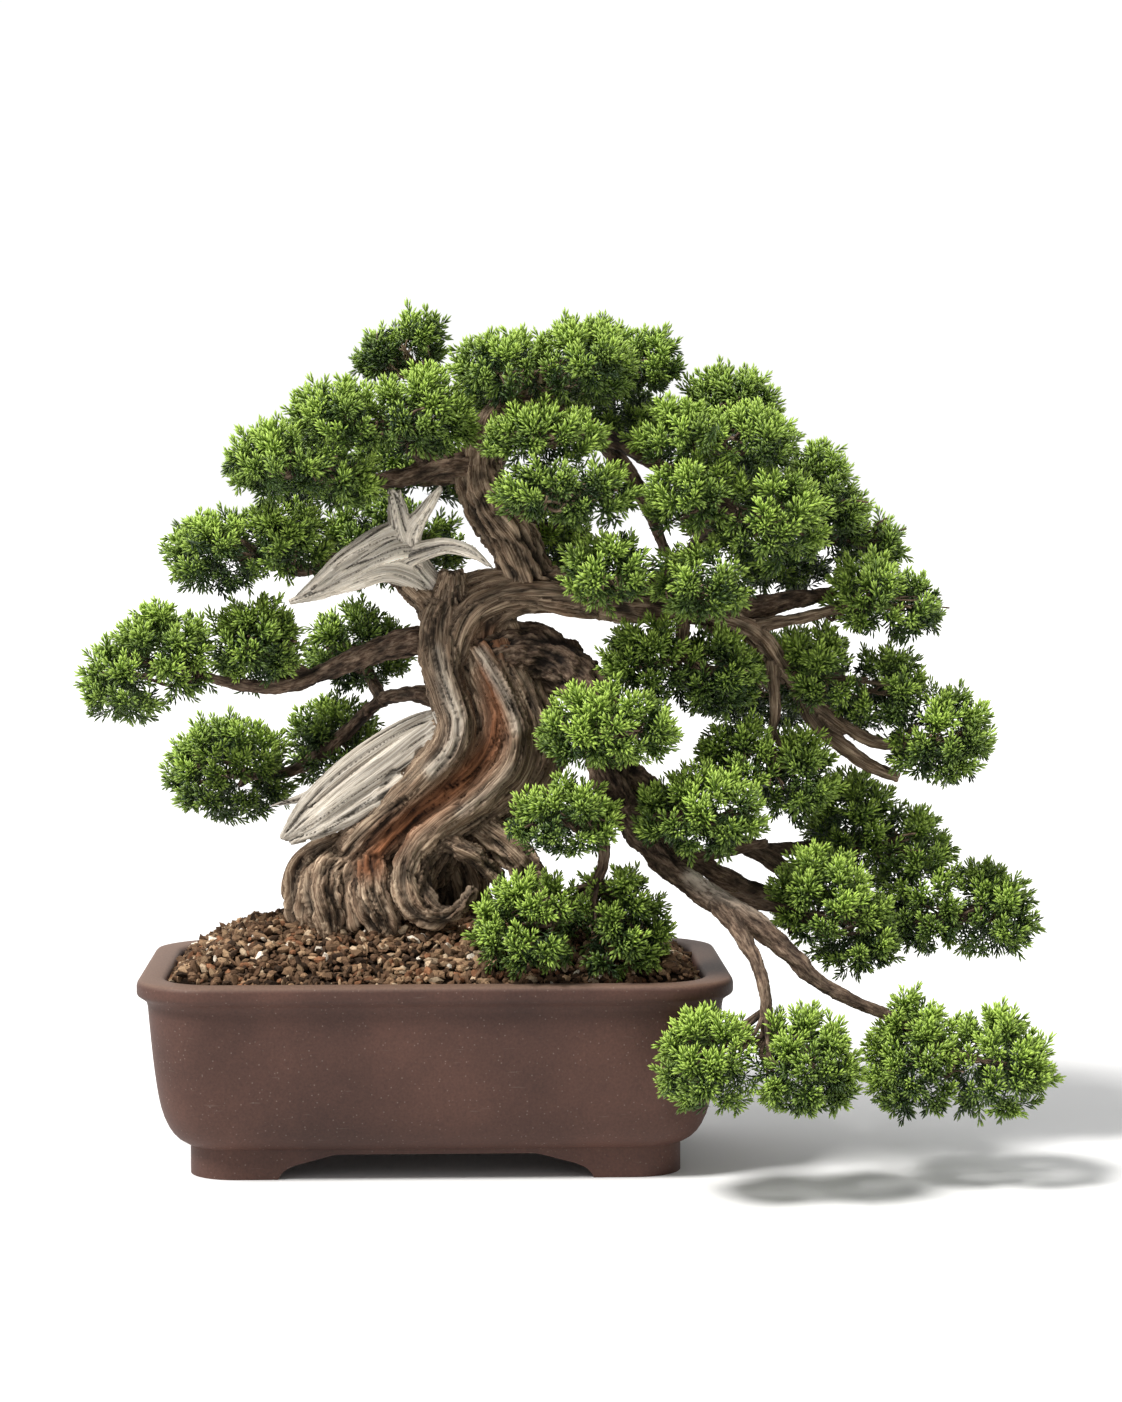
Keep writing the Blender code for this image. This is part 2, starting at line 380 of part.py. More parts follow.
def tube_mesh(line, name, sides=2, grow=0.0, flatness=1.0):
    """A closed tube along (x, y, z, radius) points, from a curve with filled ends."""
    line = [Vector(point) for point in line]
    if grow:
        first = (line[0] - line[1]).to_3d().normalized() * grow
        last = (line[-1] - line[-2]).to_3d().normalized() * grow
        line[0] = Vector((*(line[0].to_3d() + first), line[0].w))
        line[-1] = Vector((*(line[-1].to_3d() + last), line[-1].w))
    curve = bpy.data.curves.new(name, "CURVE")
    curve.dimensions = "3D"
    curve.bevel_depth = 1.0
    curve.bevel_resolution = sides
    curve.use_fill_caps = True
    spline = curve.splines.new("POLY")
    spline.points.add(len(line) - 1)
    for point, place in zip(spline.points, line):
        point.co = (place.x, place.y, place.z, 1.0)
        point.radius = place.w + grow
    holder = bpy.data.objects.new(name, curve)
    cutters.objects.link(holder)
    graph = bpy.context.evaluated_depsgraph_get()
    mesh = bpy.data.meshes.new_from_object(holder.evaluated_get(graph))
    bpy.data.objects.remove(holder)
    bm = bmesh.new()
    bm.from_mesh(mesh)
    bmesh.ops.remove_doubles(bm, verts=bm.verts, dist=0.00001)
    if flatness < 1.0:
        for vert in bm.verts:
            nearest = min(line, key=lambda place: (place.to_3d() - vert.co).length)
            vert.co.y = nearest.y + (vert.co.y - nearest.y) * flatness
    bmesh.ops.recalc_face_normals(bm, faces=bm.faces)
    return mesh_of(bm, name)


def joined_tubes(lines, name, steps, sides, grow=0.0, flatness=1.0):
    tubes = [tube_mesh(smooth_line(line, steps), f"{name}_{number}", sides, grow, flatness)
             for number, line in enumerate(lines)]
    if len(tubes) == 1:
        return tubes[0]
    return combined(tubes[0], tubes[1:], "UNION", name)


# ---------------------------------------------------------------- pot
def rounded_ring(bm, inset, height):
    """A closed ring of edges, a rectangle with round corners, set in from the rim's outline."""
    half_x = POT_HALF_LENGTH - inset
    half_y = POT_HALF_WIDTH - inset
    radius = max(POT_CORNER_RADIUS - 0.5 * inset, 0.25 * half_y)
    ring = []
    for quarter in range(4):
        angle = math.pi / 2 * quarter
        corner_x = math.copysign(half_x - radius, math.cos(angle + math.pi / 4))
        corner_y = math.copysign(half_y - radius, math.sin(angle + math.pi / 4))
        for step in range(CORNER_STEPS + 1):
            turn = angle + math.pi / 2 * step / CORNER_STEPS
            ring.append(bm.verts.new((corner_x + radius * math.cos(turn),
                                      corner_y + radius * math.sin(turn), height)))
    edges = [bm.edges.new((ring[index - 1], ring[index])) for index in range(len(ring))]
    return ring, edges


def lofted_rings(profile, name):
    """A solid through rounded rings, with its two ends filled."""
    bm = bmesh.new()
    rings = [rounded_ring(bm, inset, height) for inset, height in profile]
    for (_, lower), (_, upper) in zip(rings, rings[1:]):
        bmesh.ops.bridge_loops(bm, edges=lower + upper)
    bm.faces.new(rings[0][0])
    bm.faces.new(rings[-1][0])
    bmesh.ops.recalc_face_normals(bm, faces=bm.faces)
    return mesh_of(bm, name)


def cylinder_mesh(name, radius, low, high, x, y=0.0, sides=24):
    bm = bmesh.new()
    place = Matrix.Translation((x, y, (low + high) / 2))
    bmesh.ops.create_cone(bm, cap_ends=True, segments=sides, radius1=radius, radius2=radius,
                          depth=high - low, matrix=place)
    return mesh_of(bm, name)


def box_mesh(name, low, high):
    bm = bmesh.new()
    low = Vector(low)
    high = Vector(high)
    place = Matrix.Translation((low + high) / 2) @ Matrix.Diagonal((*(high - low), 1.0))
    bmesh.ops.create_cube(bm, size=1.0, matrix=place)
    return mesh_of(bm, name)


def arch_mesh(name, half_length, along_y):
    """A bracket-foot arch, flat above and with a reversed curve down to each foot."""
    foot_curve = [(1.00, -0.004), (1.00, 0.000), (0.985, 0.0030), (0.940, 0.0068), (0.865, 0.0098),
                  (0.780, 0.0118), (0.690, 0.0140), (0.620, ARCH_HEIGHT)]
    fall = min(1.0, half_length / ARCH_HALF_LENGTH + 0.25)
    right = [(half_length * (1 - (1 - across) * fall), up) for across, up in foot_curve]
    outline = right + [(-across, up) for across, up in reversed(right)]
    bm = bmesh.new()
    reach = POT_HALF_LENGTH + 0.02
    if along_y:
        face = bm.faces.new([bm.verts.new((across, -reach, up)) for across, up in outline])
        travel = Vector((0, 2 * reach, 0))
    else:
        face = bm.faces.new([bm.verts.new((-reach, across, up)) for across, up in outline])
        travel = Vector((2 * reach, 0, 0))
    grown = bmesh.ops.extrude_face_region(bm, geom=[face])
    moved = [item for item in grown["geom"] if isinstance(item, bmesh.types.BMVert)]
    bmesh.ops.translate(bm, verts=moved, vec=travel)
    bmesh.ops.recalc_face_normals(bm, faces=bm.faces)
    return mesh_of(bm, name)


pot_shell = lofted_rings(POT_OUTSIDE + POT_INSIDE, "pot_shell")
foot_block = lofted_rings([(FOOT_INSET, 0.0), (FOOT_INSET, FOOT_HEIGHT + 0.004)], "foot_block")
foot_hollow = lofted_rings([(FOOT_INSET + FOOT_WALL, -0.010), (FOOT_INSET + FOOT_WALL, FOOT_HEIGHT)],
                           "foot_hollow")
arches = [arch_mesh("front_arch", ARCH_HALF_LENGTH, True),
          arch_mesh("side_arch", SIDE_ARCH_HALF_LENGTH, False)]
foot_ring = combined(foot_block, [foot_hollow, *arches], "DIFFERENCE", "foot_ring")
drains = [cylinder_mesh(f"drain_{side}", DRAIN_RADIUS, 0.0, FLOOR_TOP + 0.01, side * DRAIN_OFFSET)
          for side in (-1, 1)]
pot_mesh = combined(pot_shell, [foot_ring], "UNION", "pot_body")
pot_mesh = combined(pot_mesh, drains, "DIFFERENCE", "pot")
add_part("pot", pot_mesh, (0.13, 0.075, 0.065), 0.75)

# ---------------------------------------------------------------- drainage screens and their wire clips
for side, label in ((-1, "left"), (1, "right")):
    bm = bmesh.new()
    centre = Vector((side * DRAIN_OFFSET, 0.0, FLOOR_TOP + GAP + SCREEN_THICKNESS / 2))
    bmesh.ops.create_grid(bm, x_segments=4, y_segments=4, size=SCREEN_SIZE / 2,
                          matrix=Matrix.Translation(centre))
    screen = add_part(f"drain_screen_{label}", mesh_of(bm, "drain_screen"), (0.03, 0.03, 0.03), 0.5)
    wires = screen.modifiers.new("net", "WIREFRAME")
    wires.thickness = SCREEN_THICKNESS
    wires.use_even_offset = False
    wires.use_boundary = True
    wires.use_replace = True

# ---------------------------------------------------------------- trunk, its roots and stubs
def trunk_solid(name, grow):
    """Living veins wound round a core, with the spreading roots and two old branch stubs."""
    tubes = [tube_mesh(smooth_line(line, 2), f"{name}_vein_{number}", 2, grow)
             for number, line in enumerate(TRUNK_VEINS + ROOTS)]
    return combined(tubes[0], tubes[1:], "UNION", name)


trunk_mesh = largest_piece(trunk_solid("trunk_body", 0.0), "trunk")
trunk_room = trunk_solid("trunk_room", GAP)

# ---------------------------------------------------------------- grit and soil
def filling(name, low, high, edge_gap, dome=0.0):
    """A body that fills the pot between two heights, domed on top when asked."""
    inner = sorted(POT_INSIDE, key=lambda station: station[1])
    heights = [low] + [up for _, up in inner if low < up < high] + [high]

    def wall_inset(height):
        for (inset_low, up_low), (inset_high, up_high) in zip(inner, inner[1:]):
            if up_low <= height <= up_high:
                return inset_low + (inset_high - inset_low) * (height - up_low) / (up_high - up_low)
        return inner[-1][0]

    profile = [(wall_inset(height) + edge_gap, height) for height in heights]
    if dome:
        start = profile[-1][0]
        reach = POT_HALF_WIDTH - start
        for share in (0.12, 0.28, 0.48, 0.70, 0.90):
            profile.append((start + reach * share, high + dome * (1 - (1 - share) ** 1.9)))
    return lofted_rings(profile, name)


grit_mesh = filling("drainage_grit", FLOOR_TOP + SCREEN_THICKNESS + 3 * GAP, GRIT_TOP, 0.0010)
add_part("drainage_grit", grit_mesh, (0.35, 0.30, 0.26), 0.95)
soil_mesh = filling("soil_body", GRIT_TOP + GAP, SOIL_EDGE_HEIGHT, GAP + 0.0004, SOIL_CROWN)
soil_mesh = combined(soil_mesh, [trunk_room], "DIFFERENCE", "soil")
add_part("soil", largest_piece(soil_mesh, "soil"), (0.14, 0.08, 0.045), 0.95)
add_part("trunk", trunk_mesh, (0.23, 0.15, 0.10), 0.85)

# ---------------------------------------------------------------- limbs and deadwood
taken = {"trunk": trunk_room}   # what each piece of wood keeps its neighbours out of
for name, lines in LIMBS.items():
    solid = joined_tubes(lines, name, 2, 1)
    room = joined_tubes(lines, f"{name}_room", 2, 1, GAP)
    solid = combined(solid, [taken[other] for other in taken], "DIFFERENCE", name)
    add_part(name, largest_piece(solid, name), (0.20, 0.13, 0.09), 0.85)
    taken[name] = room
for name, lines in (("deadwood_upper", DEADWOOD_UPPER), ("deadwood_lower", DEADWOOD_LOWER)):
    solid = joined_tubes(lines, name, 2, 2, 0.0, DEADWOOD_FLATNESS)
    room = joined_tubes(lines, f"{name}_room", 2, 2, 2 * GAP, DEADWOOD_FLATNESS)
    solid = combined(solid, [taken[other] for other in taken], "DIFFERENCE", name)
    add_part(name, largest_piece(solid, name), (0.62, 0.57, 0.49), 0.7)
    taken[name] = room


# ---------------------------------------------------------------- foliage pads
def bounds_of(mesh):
    spots = [vert.co for vert in mesh.vertices]
    low = Vector((min(spot[axis] for spot in spots) for axis in range(3)))
    high = Vector((max(spot[axis] for spot in spots) for axis in range(3)))
    return low, high


def boxes_meet(first, second):
    return all(first[0][axis] < second[1][axis] + 0.001 and second[0][axis] < first[1][axis] + 0.001
               for axis in range(3))


def cushion(name, lobes, grow):
    """Domed lobes, flatter below than above, grown into one cushion."""
    domes = []
    for number, (centre, half) in enumerate(lobes):
        bm = bmesh.new()
        bmesh.ops.create_icosphere(bm, subdivisions=2, radius=1.0)
        for vert in bm.verts:
            lift = half[2] * (1.0 if vert.co.z > 0 else PAD_UNDERSIDE)
            vert.co = Vector(centre) + Vector((vert.co.x * (half[0] + grow), vert.co.y * (half[1] + grow),
                                               vert.co.z * (lift + grow)))
        domes.append(mesh_of(bm, f"{name}_lobe_{number}"))
    return combined(domes[0], domes[1:], "UNION", name) if len(domes) > 1 else domes[0]


taken["soil"] = filling("soil_room", GRIT_TOP, SOIL_EDGE_HEIGHT + PAD_GAP, 0.0, SOIL_CROWN)
rooms = {name: (mesh, bounds_of(mesh)) for name, mesh in taken.items()}
for name, lobes in sorted(PADS.items(), key=lambda entry: entry[1][0][0][1]):   # the nearest first
    pad_mesh = cushion(f"{name}_whole", lobes, 0.0)
    box = bounds_of(pad_mesh)
    meeting = [mesh for mesh, room in rooms.values() if boxes_meet(box, room)]
    room_mesh = cushion(f"{name}_room", lobes, PAD_GAP)
    if meeting:
        pad_mesh = combined(pad_mesh, meeting, "DIFFERENCE", name)
    add_part(name, largest_piece(pad_mesh, name), (0.10, 0.22, 0.05), 0.7)
    rooms[name] = (room_mesh, bounds_of(room_mesh))

# ---------------------------------------------------------------- stand the whole on its origin
bpy.context.view_layer.update()
lows = [bounds_of(part.data)[0] for part in parts.objects]
highs = [bounds_of(part.data)[1] for part in parts.objects]
low = Vector((min(spot[axis] for spot in lows) for axis in range(3)))
high = Vector((max(spot[axis] for spot in highs) for axis in range(3)))
shift = Matrix.Translation((-(low.x + high.x) / 2, -(low.y + high.y) / 2, -low.z))
for part in parts.objects:
    part.data.transform(shift)
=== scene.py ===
"""Bonsai juniper in an unglazed pot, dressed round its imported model. Metres, +Z up, viewed along +Y."""
import math

import bmesh
import bpy
import numpy as np
from mathutils import Matrix, Vector, noise
from mathutils.bvhtree import BVHTree


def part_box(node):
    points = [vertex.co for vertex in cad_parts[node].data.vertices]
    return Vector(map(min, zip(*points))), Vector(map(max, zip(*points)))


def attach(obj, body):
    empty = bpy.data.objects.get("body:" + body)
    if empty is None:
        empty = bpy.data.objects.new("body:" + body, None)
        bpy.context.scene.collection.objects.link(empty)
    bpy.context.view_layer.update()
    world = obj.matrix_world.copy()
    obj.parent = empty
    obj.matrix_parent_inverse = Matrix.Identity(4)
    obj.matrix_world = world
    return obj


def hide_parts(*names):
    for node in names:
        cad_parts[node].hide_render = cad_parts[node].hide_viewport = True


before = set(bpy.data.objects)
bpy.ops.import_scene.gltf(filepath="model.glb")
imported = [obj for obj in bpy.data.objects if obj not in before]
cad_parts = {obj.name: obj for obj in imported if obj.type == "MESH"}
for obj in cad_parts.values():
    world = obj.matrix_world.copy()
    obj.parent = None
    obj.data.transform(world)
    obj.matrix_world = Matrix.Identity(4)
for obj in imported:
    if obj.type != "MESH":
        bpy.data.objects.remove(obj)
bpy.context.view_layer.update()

# ============================================================================ studio
# A pale floor under plain soft daylight, with a broad key from the upper left.
# The camera stands two metres in front of the rim, at the height of the upper pads, looking down a little.
POT_LOW, POT_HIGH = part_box("pot")
MIDDLE = Vector(((POT_LOW.x + POT_HIGH.x) / 2, (POT_LOW.y + POT_HIGH.y) / 2, 0.0))
LENS = 85.0
CAMERA_PLACE = MIDDLE + Vector((0.0, -2.1125, 0.4225))
CAMERA_AIM = Vector((0.03807, 1.0, -0.06223))
KEY_FROM = Vector((-0.62, -0.42, 1.0))
KEY_STRENGTH = 4.4
KEY_SOFTNESS = 16.0             # degrees across
BACKDROP = 1.03                 # strength of the white behind the plant
ROOM_IN_FRONT = 0.42            # and of the dimmer room behind the camera
FLOOR_REACH = 40.0

scene = bpy.context.scene
scene.view_settings.view_transform = "Standard"


def new_material(name, roughness=0.7):
    """A material, its Principled shader, and the functions that add nodes and links to it."""
    material = bpy.data.materials.new(name)
    material.use_nodes = True
    tree = material.node_tree
    shader = tree.nodes["Principled BSDF"]
    shader.inputs["Roughness"].default_value = roughness

    def node(kind, settings=None, **inputs):
        made = tree.nodes.new(kind)
        for key, value in (settings or {}).items():
            setattr(made, key, value)
        for key, value in inputs.items():
            socket = made.inputs[int(key[1:])] if key[1:].isdigit() else made.inputs[key.replace("_", " ")]
            if isinstance(value, bpy.types.NodeSocket):
                tree.links.new(value, socket)
            else:
                socket.default_value = value
        return made

    def ramp(value, stops):
        made = tree.nodes.new("ShaderNodeValToRGB")
        tree.links.new(value, made.inputs["Fac"])
        while len(made.color_ramp.elements) < len(stops):
            made.color_ramp.elements.new(0.5)
        for element, (place, colour) in zip(made.color_ramp.elements, stops):
            element.position = place
            element.color = (*colour, 1.0) if isinstance(colour, tuple) else (colour, colour, colour, 1.0)
        return made.outputs["Color"]

    def mix(share, first, second, blend="MIX"):
        made = tree.nodes.new("ShaderNodeMix")
        made.data_type = "RGBA"
        made.blend_type = blend
        for socket, value in ((made.inputs[0], share), (made.inputs[6], first), (made.inputs[7], second)):
            if isinstance(value, bpy.types.NodeSocket):
                tree.links.new(value, socket)
            else:
                socket.default_value = (*value, 1.0) if isinstance(value, tuple) else value
        return made.outputs[2]

    return material, shader, node, ramp, mix, tree.links.new


floor_bm = bmesh.new()
bmesh.ops.create_grid(floor_bm, x_segments=1, y_segments=1, size=FLOOR_REACH)
floor_mesh = bpy.data.meshes.new("floor")
floor_bm.to_mesh(floor_mesh)
floor_bm.free()
floor = bpy.data.objects.new("floor", floor_mesh)
scene.collection.objects.link(floor)
floor_material, floor_shader, *_ = new_material("pale_floor", 0.9)
floor_shader.inputs["Base Color"].default_value = (0.80, 0.80, 0.80, 1.0)
floor_shader.inputs["Specular IOR Level"].default_value = 0.1
floor_mesh.materials.append(floor_material)

world = bpy.data.worlds.new("soft_daylight")
scene.world = world
world.use_nodes = True
sky = world.node_tree.nodes
toward = sky.new("ShaderNodeSeparateXYZ")
world.node_tree.links.new(sky.new("ShaderNodeTexCoord").outputs["Generated"], toward.inputs[0])
strength = sky.new("ShaderNodeMapRange")
strength.inputs["From Min"].default_value = -0.6
strength.inputs["From Max"].default_value = 0.7
strength.inputs["To Min"].default_value = ROOM_IN_FRONT
strength.inputs["To Max"].default_value = BACKDROP
world.node_tree.links.new(toward.outputs["Y"], strength.inputs["Value"])
seen = sky.new("ShaderNodeMix")                # the eye meets the same white on every side
world.node_tree.links.new(sky.new("ShaderNodeLightPath").outputs["Is Camera Ray"], seen.inputs[0])
world.node_tree.links.new(strength.outputs["Result"], seen.inputs[2])
seen.inputs[3].default_value = BACKDROP
world.node_tree.links.new(seen.outputs[0], sky["Background"].inputs["Strength"])
sky["Background"].inputs["Color"].default_value = (1.0, 1.0, 1.0, 1.0)

key_light = bpy.data.lights.new("key", "SUN")
key_light.energy = KEY_STRENGTH
key_light.angle = math.radians(KEY_SOFTNESS)
key_light.color = (1.0, 0.985, 0.96)
key = bpy.data.objects.new("key", key_light)
key.rotation_euler = (-KEY_FROM).to_track_quat("-Z", "Y").to_euler()
scene.collection.objects.link(key)

camera = bpy.data.objects.new("camera", bpy.data.cameras.new("camera"))
camera.data.lens = LENS
camera.data.clip_start = 0.05
camera.location = CAMERA_PLACE
camera.rotation_euler = CAMERA_AIM.to_track_quat("-Z", "Y").to_euler()
scene.collection.objects.link(camera)
scene.camera = camera

# ============================================================================ pot
# Brown unglazed stoneware, pressed in a mould and fired: a rounded rectangle with a flat lip, a wall
# that tapers to a broad curve, and bracket feet left by cutting an arch in each side of the foot ring.
POT_HALF_LENGTH = 0.185
POT_HALF_WIDTH = 0.115
POT_CORNER = 0.045
FOOT_INSET = 0.0315
FOOT_WALL = 0.014
FOOT_HEIGHT = 0.019
# inset from the rim's outline, and height: up the outside, over the lip and down the inside
POT_PROFILE = [(0.0300, 0.0190), (0.0284, 0.0199), (0.0243, 0.0228), (0.0212, 0.0262), (0.0184, 0.0308),
               (0.0159, 0.0366), (0.0140, 0.0430), (0.0127, 0.0492), (0.0116, 0.0560), (0.0104, 0.0650),
               (0.0094, 0.0740), (0.0084, 0.0845), (0.0075, 0.0950), (0.0069, 0.1020), (0.0065, 0.1070),
               (0.0058, 0.1100), (0.0034, 0.1122), (0.0011, 0.1138), (0.0003, 0.1148), (0.0000, 0.1162),
               (0.0000, 0.1205), (0.0005, 0.1224), (0.0016, 0.1236), (0.0032, 0.1240), (0.0140, 0.1240),
               (0.0158, 0.1235), (0.0172, 0.1222), (0.0180, 0.1204), (0.0184, 0.1170), (0.0188, 0.1120),
               (0.0196, 0.1030), (0.0206, 0.0940), (0.0255, 0.0560), (0.0295, 0.0440), (0.0385, 0.0345),
               (0.0490, 0.0312)]
CORNER_STEPS = 14
SIDE_STEPS = 12
FRONT_ARCH = 0.0975
SIDE_ARCH = 0.040
# half of an arch's outline: share of its half length, and height
FOOT_CURVE = [(1.00, -0.004), (1.00, 0.000), (0.996, 0.0012), (0.985, 0.0030), (0.965, 0.0052),
              (0.940, 0.0068), (0.905, 0.0084), (0.865, 0.0097), (0.820, 0.0108), (0.780, 0.0118),
              (0.735, 0.0130), (0.690, 0.0142), (0.650, 0.0151), (0.620, 0.0155)]
ARCH_REACH = 0.22               # far enough to cut right through
DRAIN_RADIUS = 0.014
DRAIN_OFFSET = 0.075
WORN_EDGE = 0.0009
CLAY_DARK = (0.055, 0.0245, 0.0180)
CLAY_MID = (0.102, 0.0460, 0.0330)
CLAY_DUST_AND_TOP_LIGHT = (0.200, 0.1250, 0.0900)
CLAY_FLECK = (0.30, 0.235, 0.20)
CLAY_SCRATCH = (0.22, 0.165, 0.14)


def mesh_object(bm, name, material=None, smooth=True):
    """The bmesh as an object in the scene, with its place in its mesh."""
    mesh = bpy.data.meshes.new(name)
    bm.to_mesh(mesh)
    bm.free()
    made = bpy.data.objects.new(name, mesh)
    scene.collection.objects.link(made)
    if material:
        mesh.materials.append(material)
    mesh.polygons.foreach_set("use_smooth", [smooth] * len(mesh.polygons))
    return made


def settle(piece, slot, *nodes):
    """The piece rides on the plant and stands for its solids."""
    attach(piece, "root")
    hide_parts(*nodes)


def apply_modifiers(made):
    """The object's modifiers become its mesh."""
    result = bpy.data.meshes.new_from_object(made.evaluated_get(bpy.context.evaluated_depsgraph_get()))
    made.modifiers.clear()
    old = made.data
    made.data = result
    bpy.data.meshes.remove(old)
    return made


def boolean(made, tool, operation):
    """Cuts or joins another object into this one and removes it."""
    step = made.modifiers.new(operation.lower(), "BOOLEAN")
    step.operation = operation
    step.solver = "EXACT"
    step.object = tool
    apply_modifiers(made)
    bpy.data.objects.remove(tool)


def rounded_ring(inset, height):
    """The places of a ring round the pot at this inset from the rim."""
    half_x = POT_HALF_LENGTH - inset
    half_y = POT_HALF_WIDTH - inset
    radius = max(POT_CORNER - 0.5 * inset, 0.25 * half_y)
    corners = []
    for quarter in range(4):
        angle = math.pi / 2 * quarter
        centre = Vector((math.copysign(half_x - radius, math.cos(angle + math.pi / 4)),
                         math.copysign(half_y - radius, math.sin(angle + math.pi / 4)), 0))
        for step in range(CORNER_STEPS + 1):
            turn = angle + math.pi / 2 * step / CORNER_STEPS
            corners.append(centre + Vector((radius * math.cos(turn), radius * math.sin(turn), 0)))
    ring = []
    for index, corner in enumerate(corners):
        ring.append(corner)
        if index % (CORNER_STEPS + 1) == CORNER_STEPS:
            following = corners[(index + 1) % len(corners)]
            ring += [corner.lerp(following, step / SIDE_STEPS) for step in range(1, SIDE_STEPS)]
    return [MIDDLE + spot + Vector((0, 0, height)) for spot in ring]


def ring_loft(profile):
    """A closed solid drawn out of its first ring through all the others."""
    bm = bmesh.new()
    rings = [rounded_ring(inset, height) for inset, height in profile]
    face = bm.faces.new([bm.verts.new(place) for place in rings[0]])
    for before, after in zip(rings, rings[1:]):
        moved = {tuple(round(value, 6) for value in old): new for old, new in zip(before, after)}
        grown = bmesh.ops.extrude_face_region(bm, geom=[face])["geom"]
        if before is not rings[0]:
            bmesh.ops.delete(bm, geom=[face], context="FACES_ONLY")
        face = next(item for item in grown if isinstance(item, bmesh.types.BMFace))
        for vert in face.verts:
            vert.co = moved[tuple(round(value, 6) for value in vert.co)]
    bmesh.ops.recalc_face_normals(bm, faces=bm.faces)
    return bm


def foot_arch(half_length, along_y):
    """A cutter in the outline of a bracket-foot arch."""
    fall = min(1.0, half_length / FRONT_ARCH + 0.25)
    right = [(half_length * (1 - (1 - across) * fall), up) for across, up in FOOT_CURVE]
    outline = right + [(-across, up) for across, up in reversed(right)]
    bm = bmesh.new()
    if along_y:
        places = [Vector((across, -ARCH_REACH, up)) for across, up in outline]
        travel = Vector((0, 2 * ARCH_REACH, 0))
    else:
        places = [Vector((-ARCH_REACH, across, up)) for across, up in outline]
        travel = Vector((2 * ARCH_REACH, 0, 0))
    face = bm.faces.new([bm.verts.new(MIDDLE + corner) for corner in places])
    grown = bmesh.ops.extrude_face_region(bm, geom=[face])
    moved = [item for item in grown["geom"] if isinstance(item, bmesh.types.BMVert)]
    bmesh.ops.translate(bm, verts=moved, vec=travel)
    bmesh.ops.recalc_face_normals(bm, faces=bm.faces)
    return mesh_object(bm, "arch")


clay, clay_shader, node, ramp, mix, link = new_material("unglazed_clay", 0.62)
place = node("ShaderNodeTexCoord").outputs["Object"]
cloud = node("ShaderNodeTexNoise", Vector=place, Scale=9.0, Detail=4.0, Roughness=0.6).outputs["Fac"]
grain = node("ShaderNodeTexNoise", Vector=place, Scale=620.0, Detail=3.0, Roughness=0.65).outputs["Fac"]
fleck = node("ShaderNodeTexVoronoi", Vector=place, Scale=260.0).outputs["Distance"]
drawn = node("ShaderNodeMapping", Vector=place)
drawn.inputs["Scale"].default_value = (60.0, 60.0, 420.0)
drawn.inputs["Rotation"].default_value = (0.3, 0.5, 0.2)
scratch = node("ShaderNodeTexNoise", Vector=drawn.outputs[0], Scale=1.0, Detail=2.0).outputs["Fac"]
body = mix(ramp(cloud, [(0.35, 0.0), (0.68, 1.0)]), CLAY_DARK, CLAY_MID)
facing = node("ShaderNodeNewGeometry").outputs["Normal"]
upward = node("ShaderNodeSeparateXYZ", Vector=facing).outputs["Z"]
# dust and painted light: faces turned upwards are lighter, partly dust, partly light from above painted into
# the colour
dust_and_top_light = mix(ramp(upward, [(0.25, 0.0), (0.95, 0.75)]), body, CLAY_DUST_AND_TOP_LIGHT)
speckled = mix(ramp(fleck, [(0.05, 0.42), (0.16, 0.0)]), dust_and_top_light, CLAY_FLECK)
marked = mix(ramp(scratch, [(0.70, 0.0), (0.78, 0.22)]), speckled, CLAY_SCRATCH)
toned = mix(0.55, marked, ramp(grain, [(0.28, 0.55), (0.72, 1.25)]), "MULTIPLY")
link(toned, clay_shader.inputs["Base Color"])
sandy = node("ShaderNodeBump", Strength=0.22, Distance=0.0007, Height=grain)
link(sandy.outputs[0], clay_shader.inputs["Normal"])
clay_shader.inputs["Specular IOR Level"].default_value = 0.35

pot = mesh_object(ring_loft(POT_PROFILE), "pot_body", clay)
inner = FOOT_INSET + FOOT_WALL
foot = mesh_object(ring_loft([(FOOT_INSET, 0.0), (FOOT_INSET, FOOT_HEIGHT + 0.004)]), "foot")
hollow = mesh_object(ring_loft([(inner, -0.01), (inner, FOOT_HEIGHT)]), "hollow")
boolean(foot, hollow, "DIFFERENCE")
boolean(foot, foot_arch(FRONT_ARCH, True), "DIFFERENCE")
boolean(foot, foot_arch(SIDE_ARCH, False), "DIFFERENCE")
rounding = foot.modifiers.new("worn_edges", "BEVEL")
rounding.width = WORN_EDGE
rounding.segments = 3
rounding.limit_method = "ANGLE"
rounding.angle_limit = math.radians(50)
apply_modifiers(foot)
for side in (-1, 1):
    drill = bmesh.new()
    through = Matrix.Translation(MIDDLE + Vector((side * DRAIN_OFFSET, 0, 0.02)))
    bmesh.ops.create_cone(drill, cap_ends=True, segments=48, radius1=DRAIN_RADIUS, radius2=DRAIN_RADIUS,
                          depth=0.06, matrix=through)
    boolean(pot, mesh_object(drill, "drill"), "DIFFERENCE")
boolean(pot, foot, "UNION")
pot.data.materials.clear()
pot.data.materials.append(clay)
pot.data.shade_smooth()
pot.data.set_sharp_from_angle(angle=math.radians(38))
settle(pot, "pot", "pot")

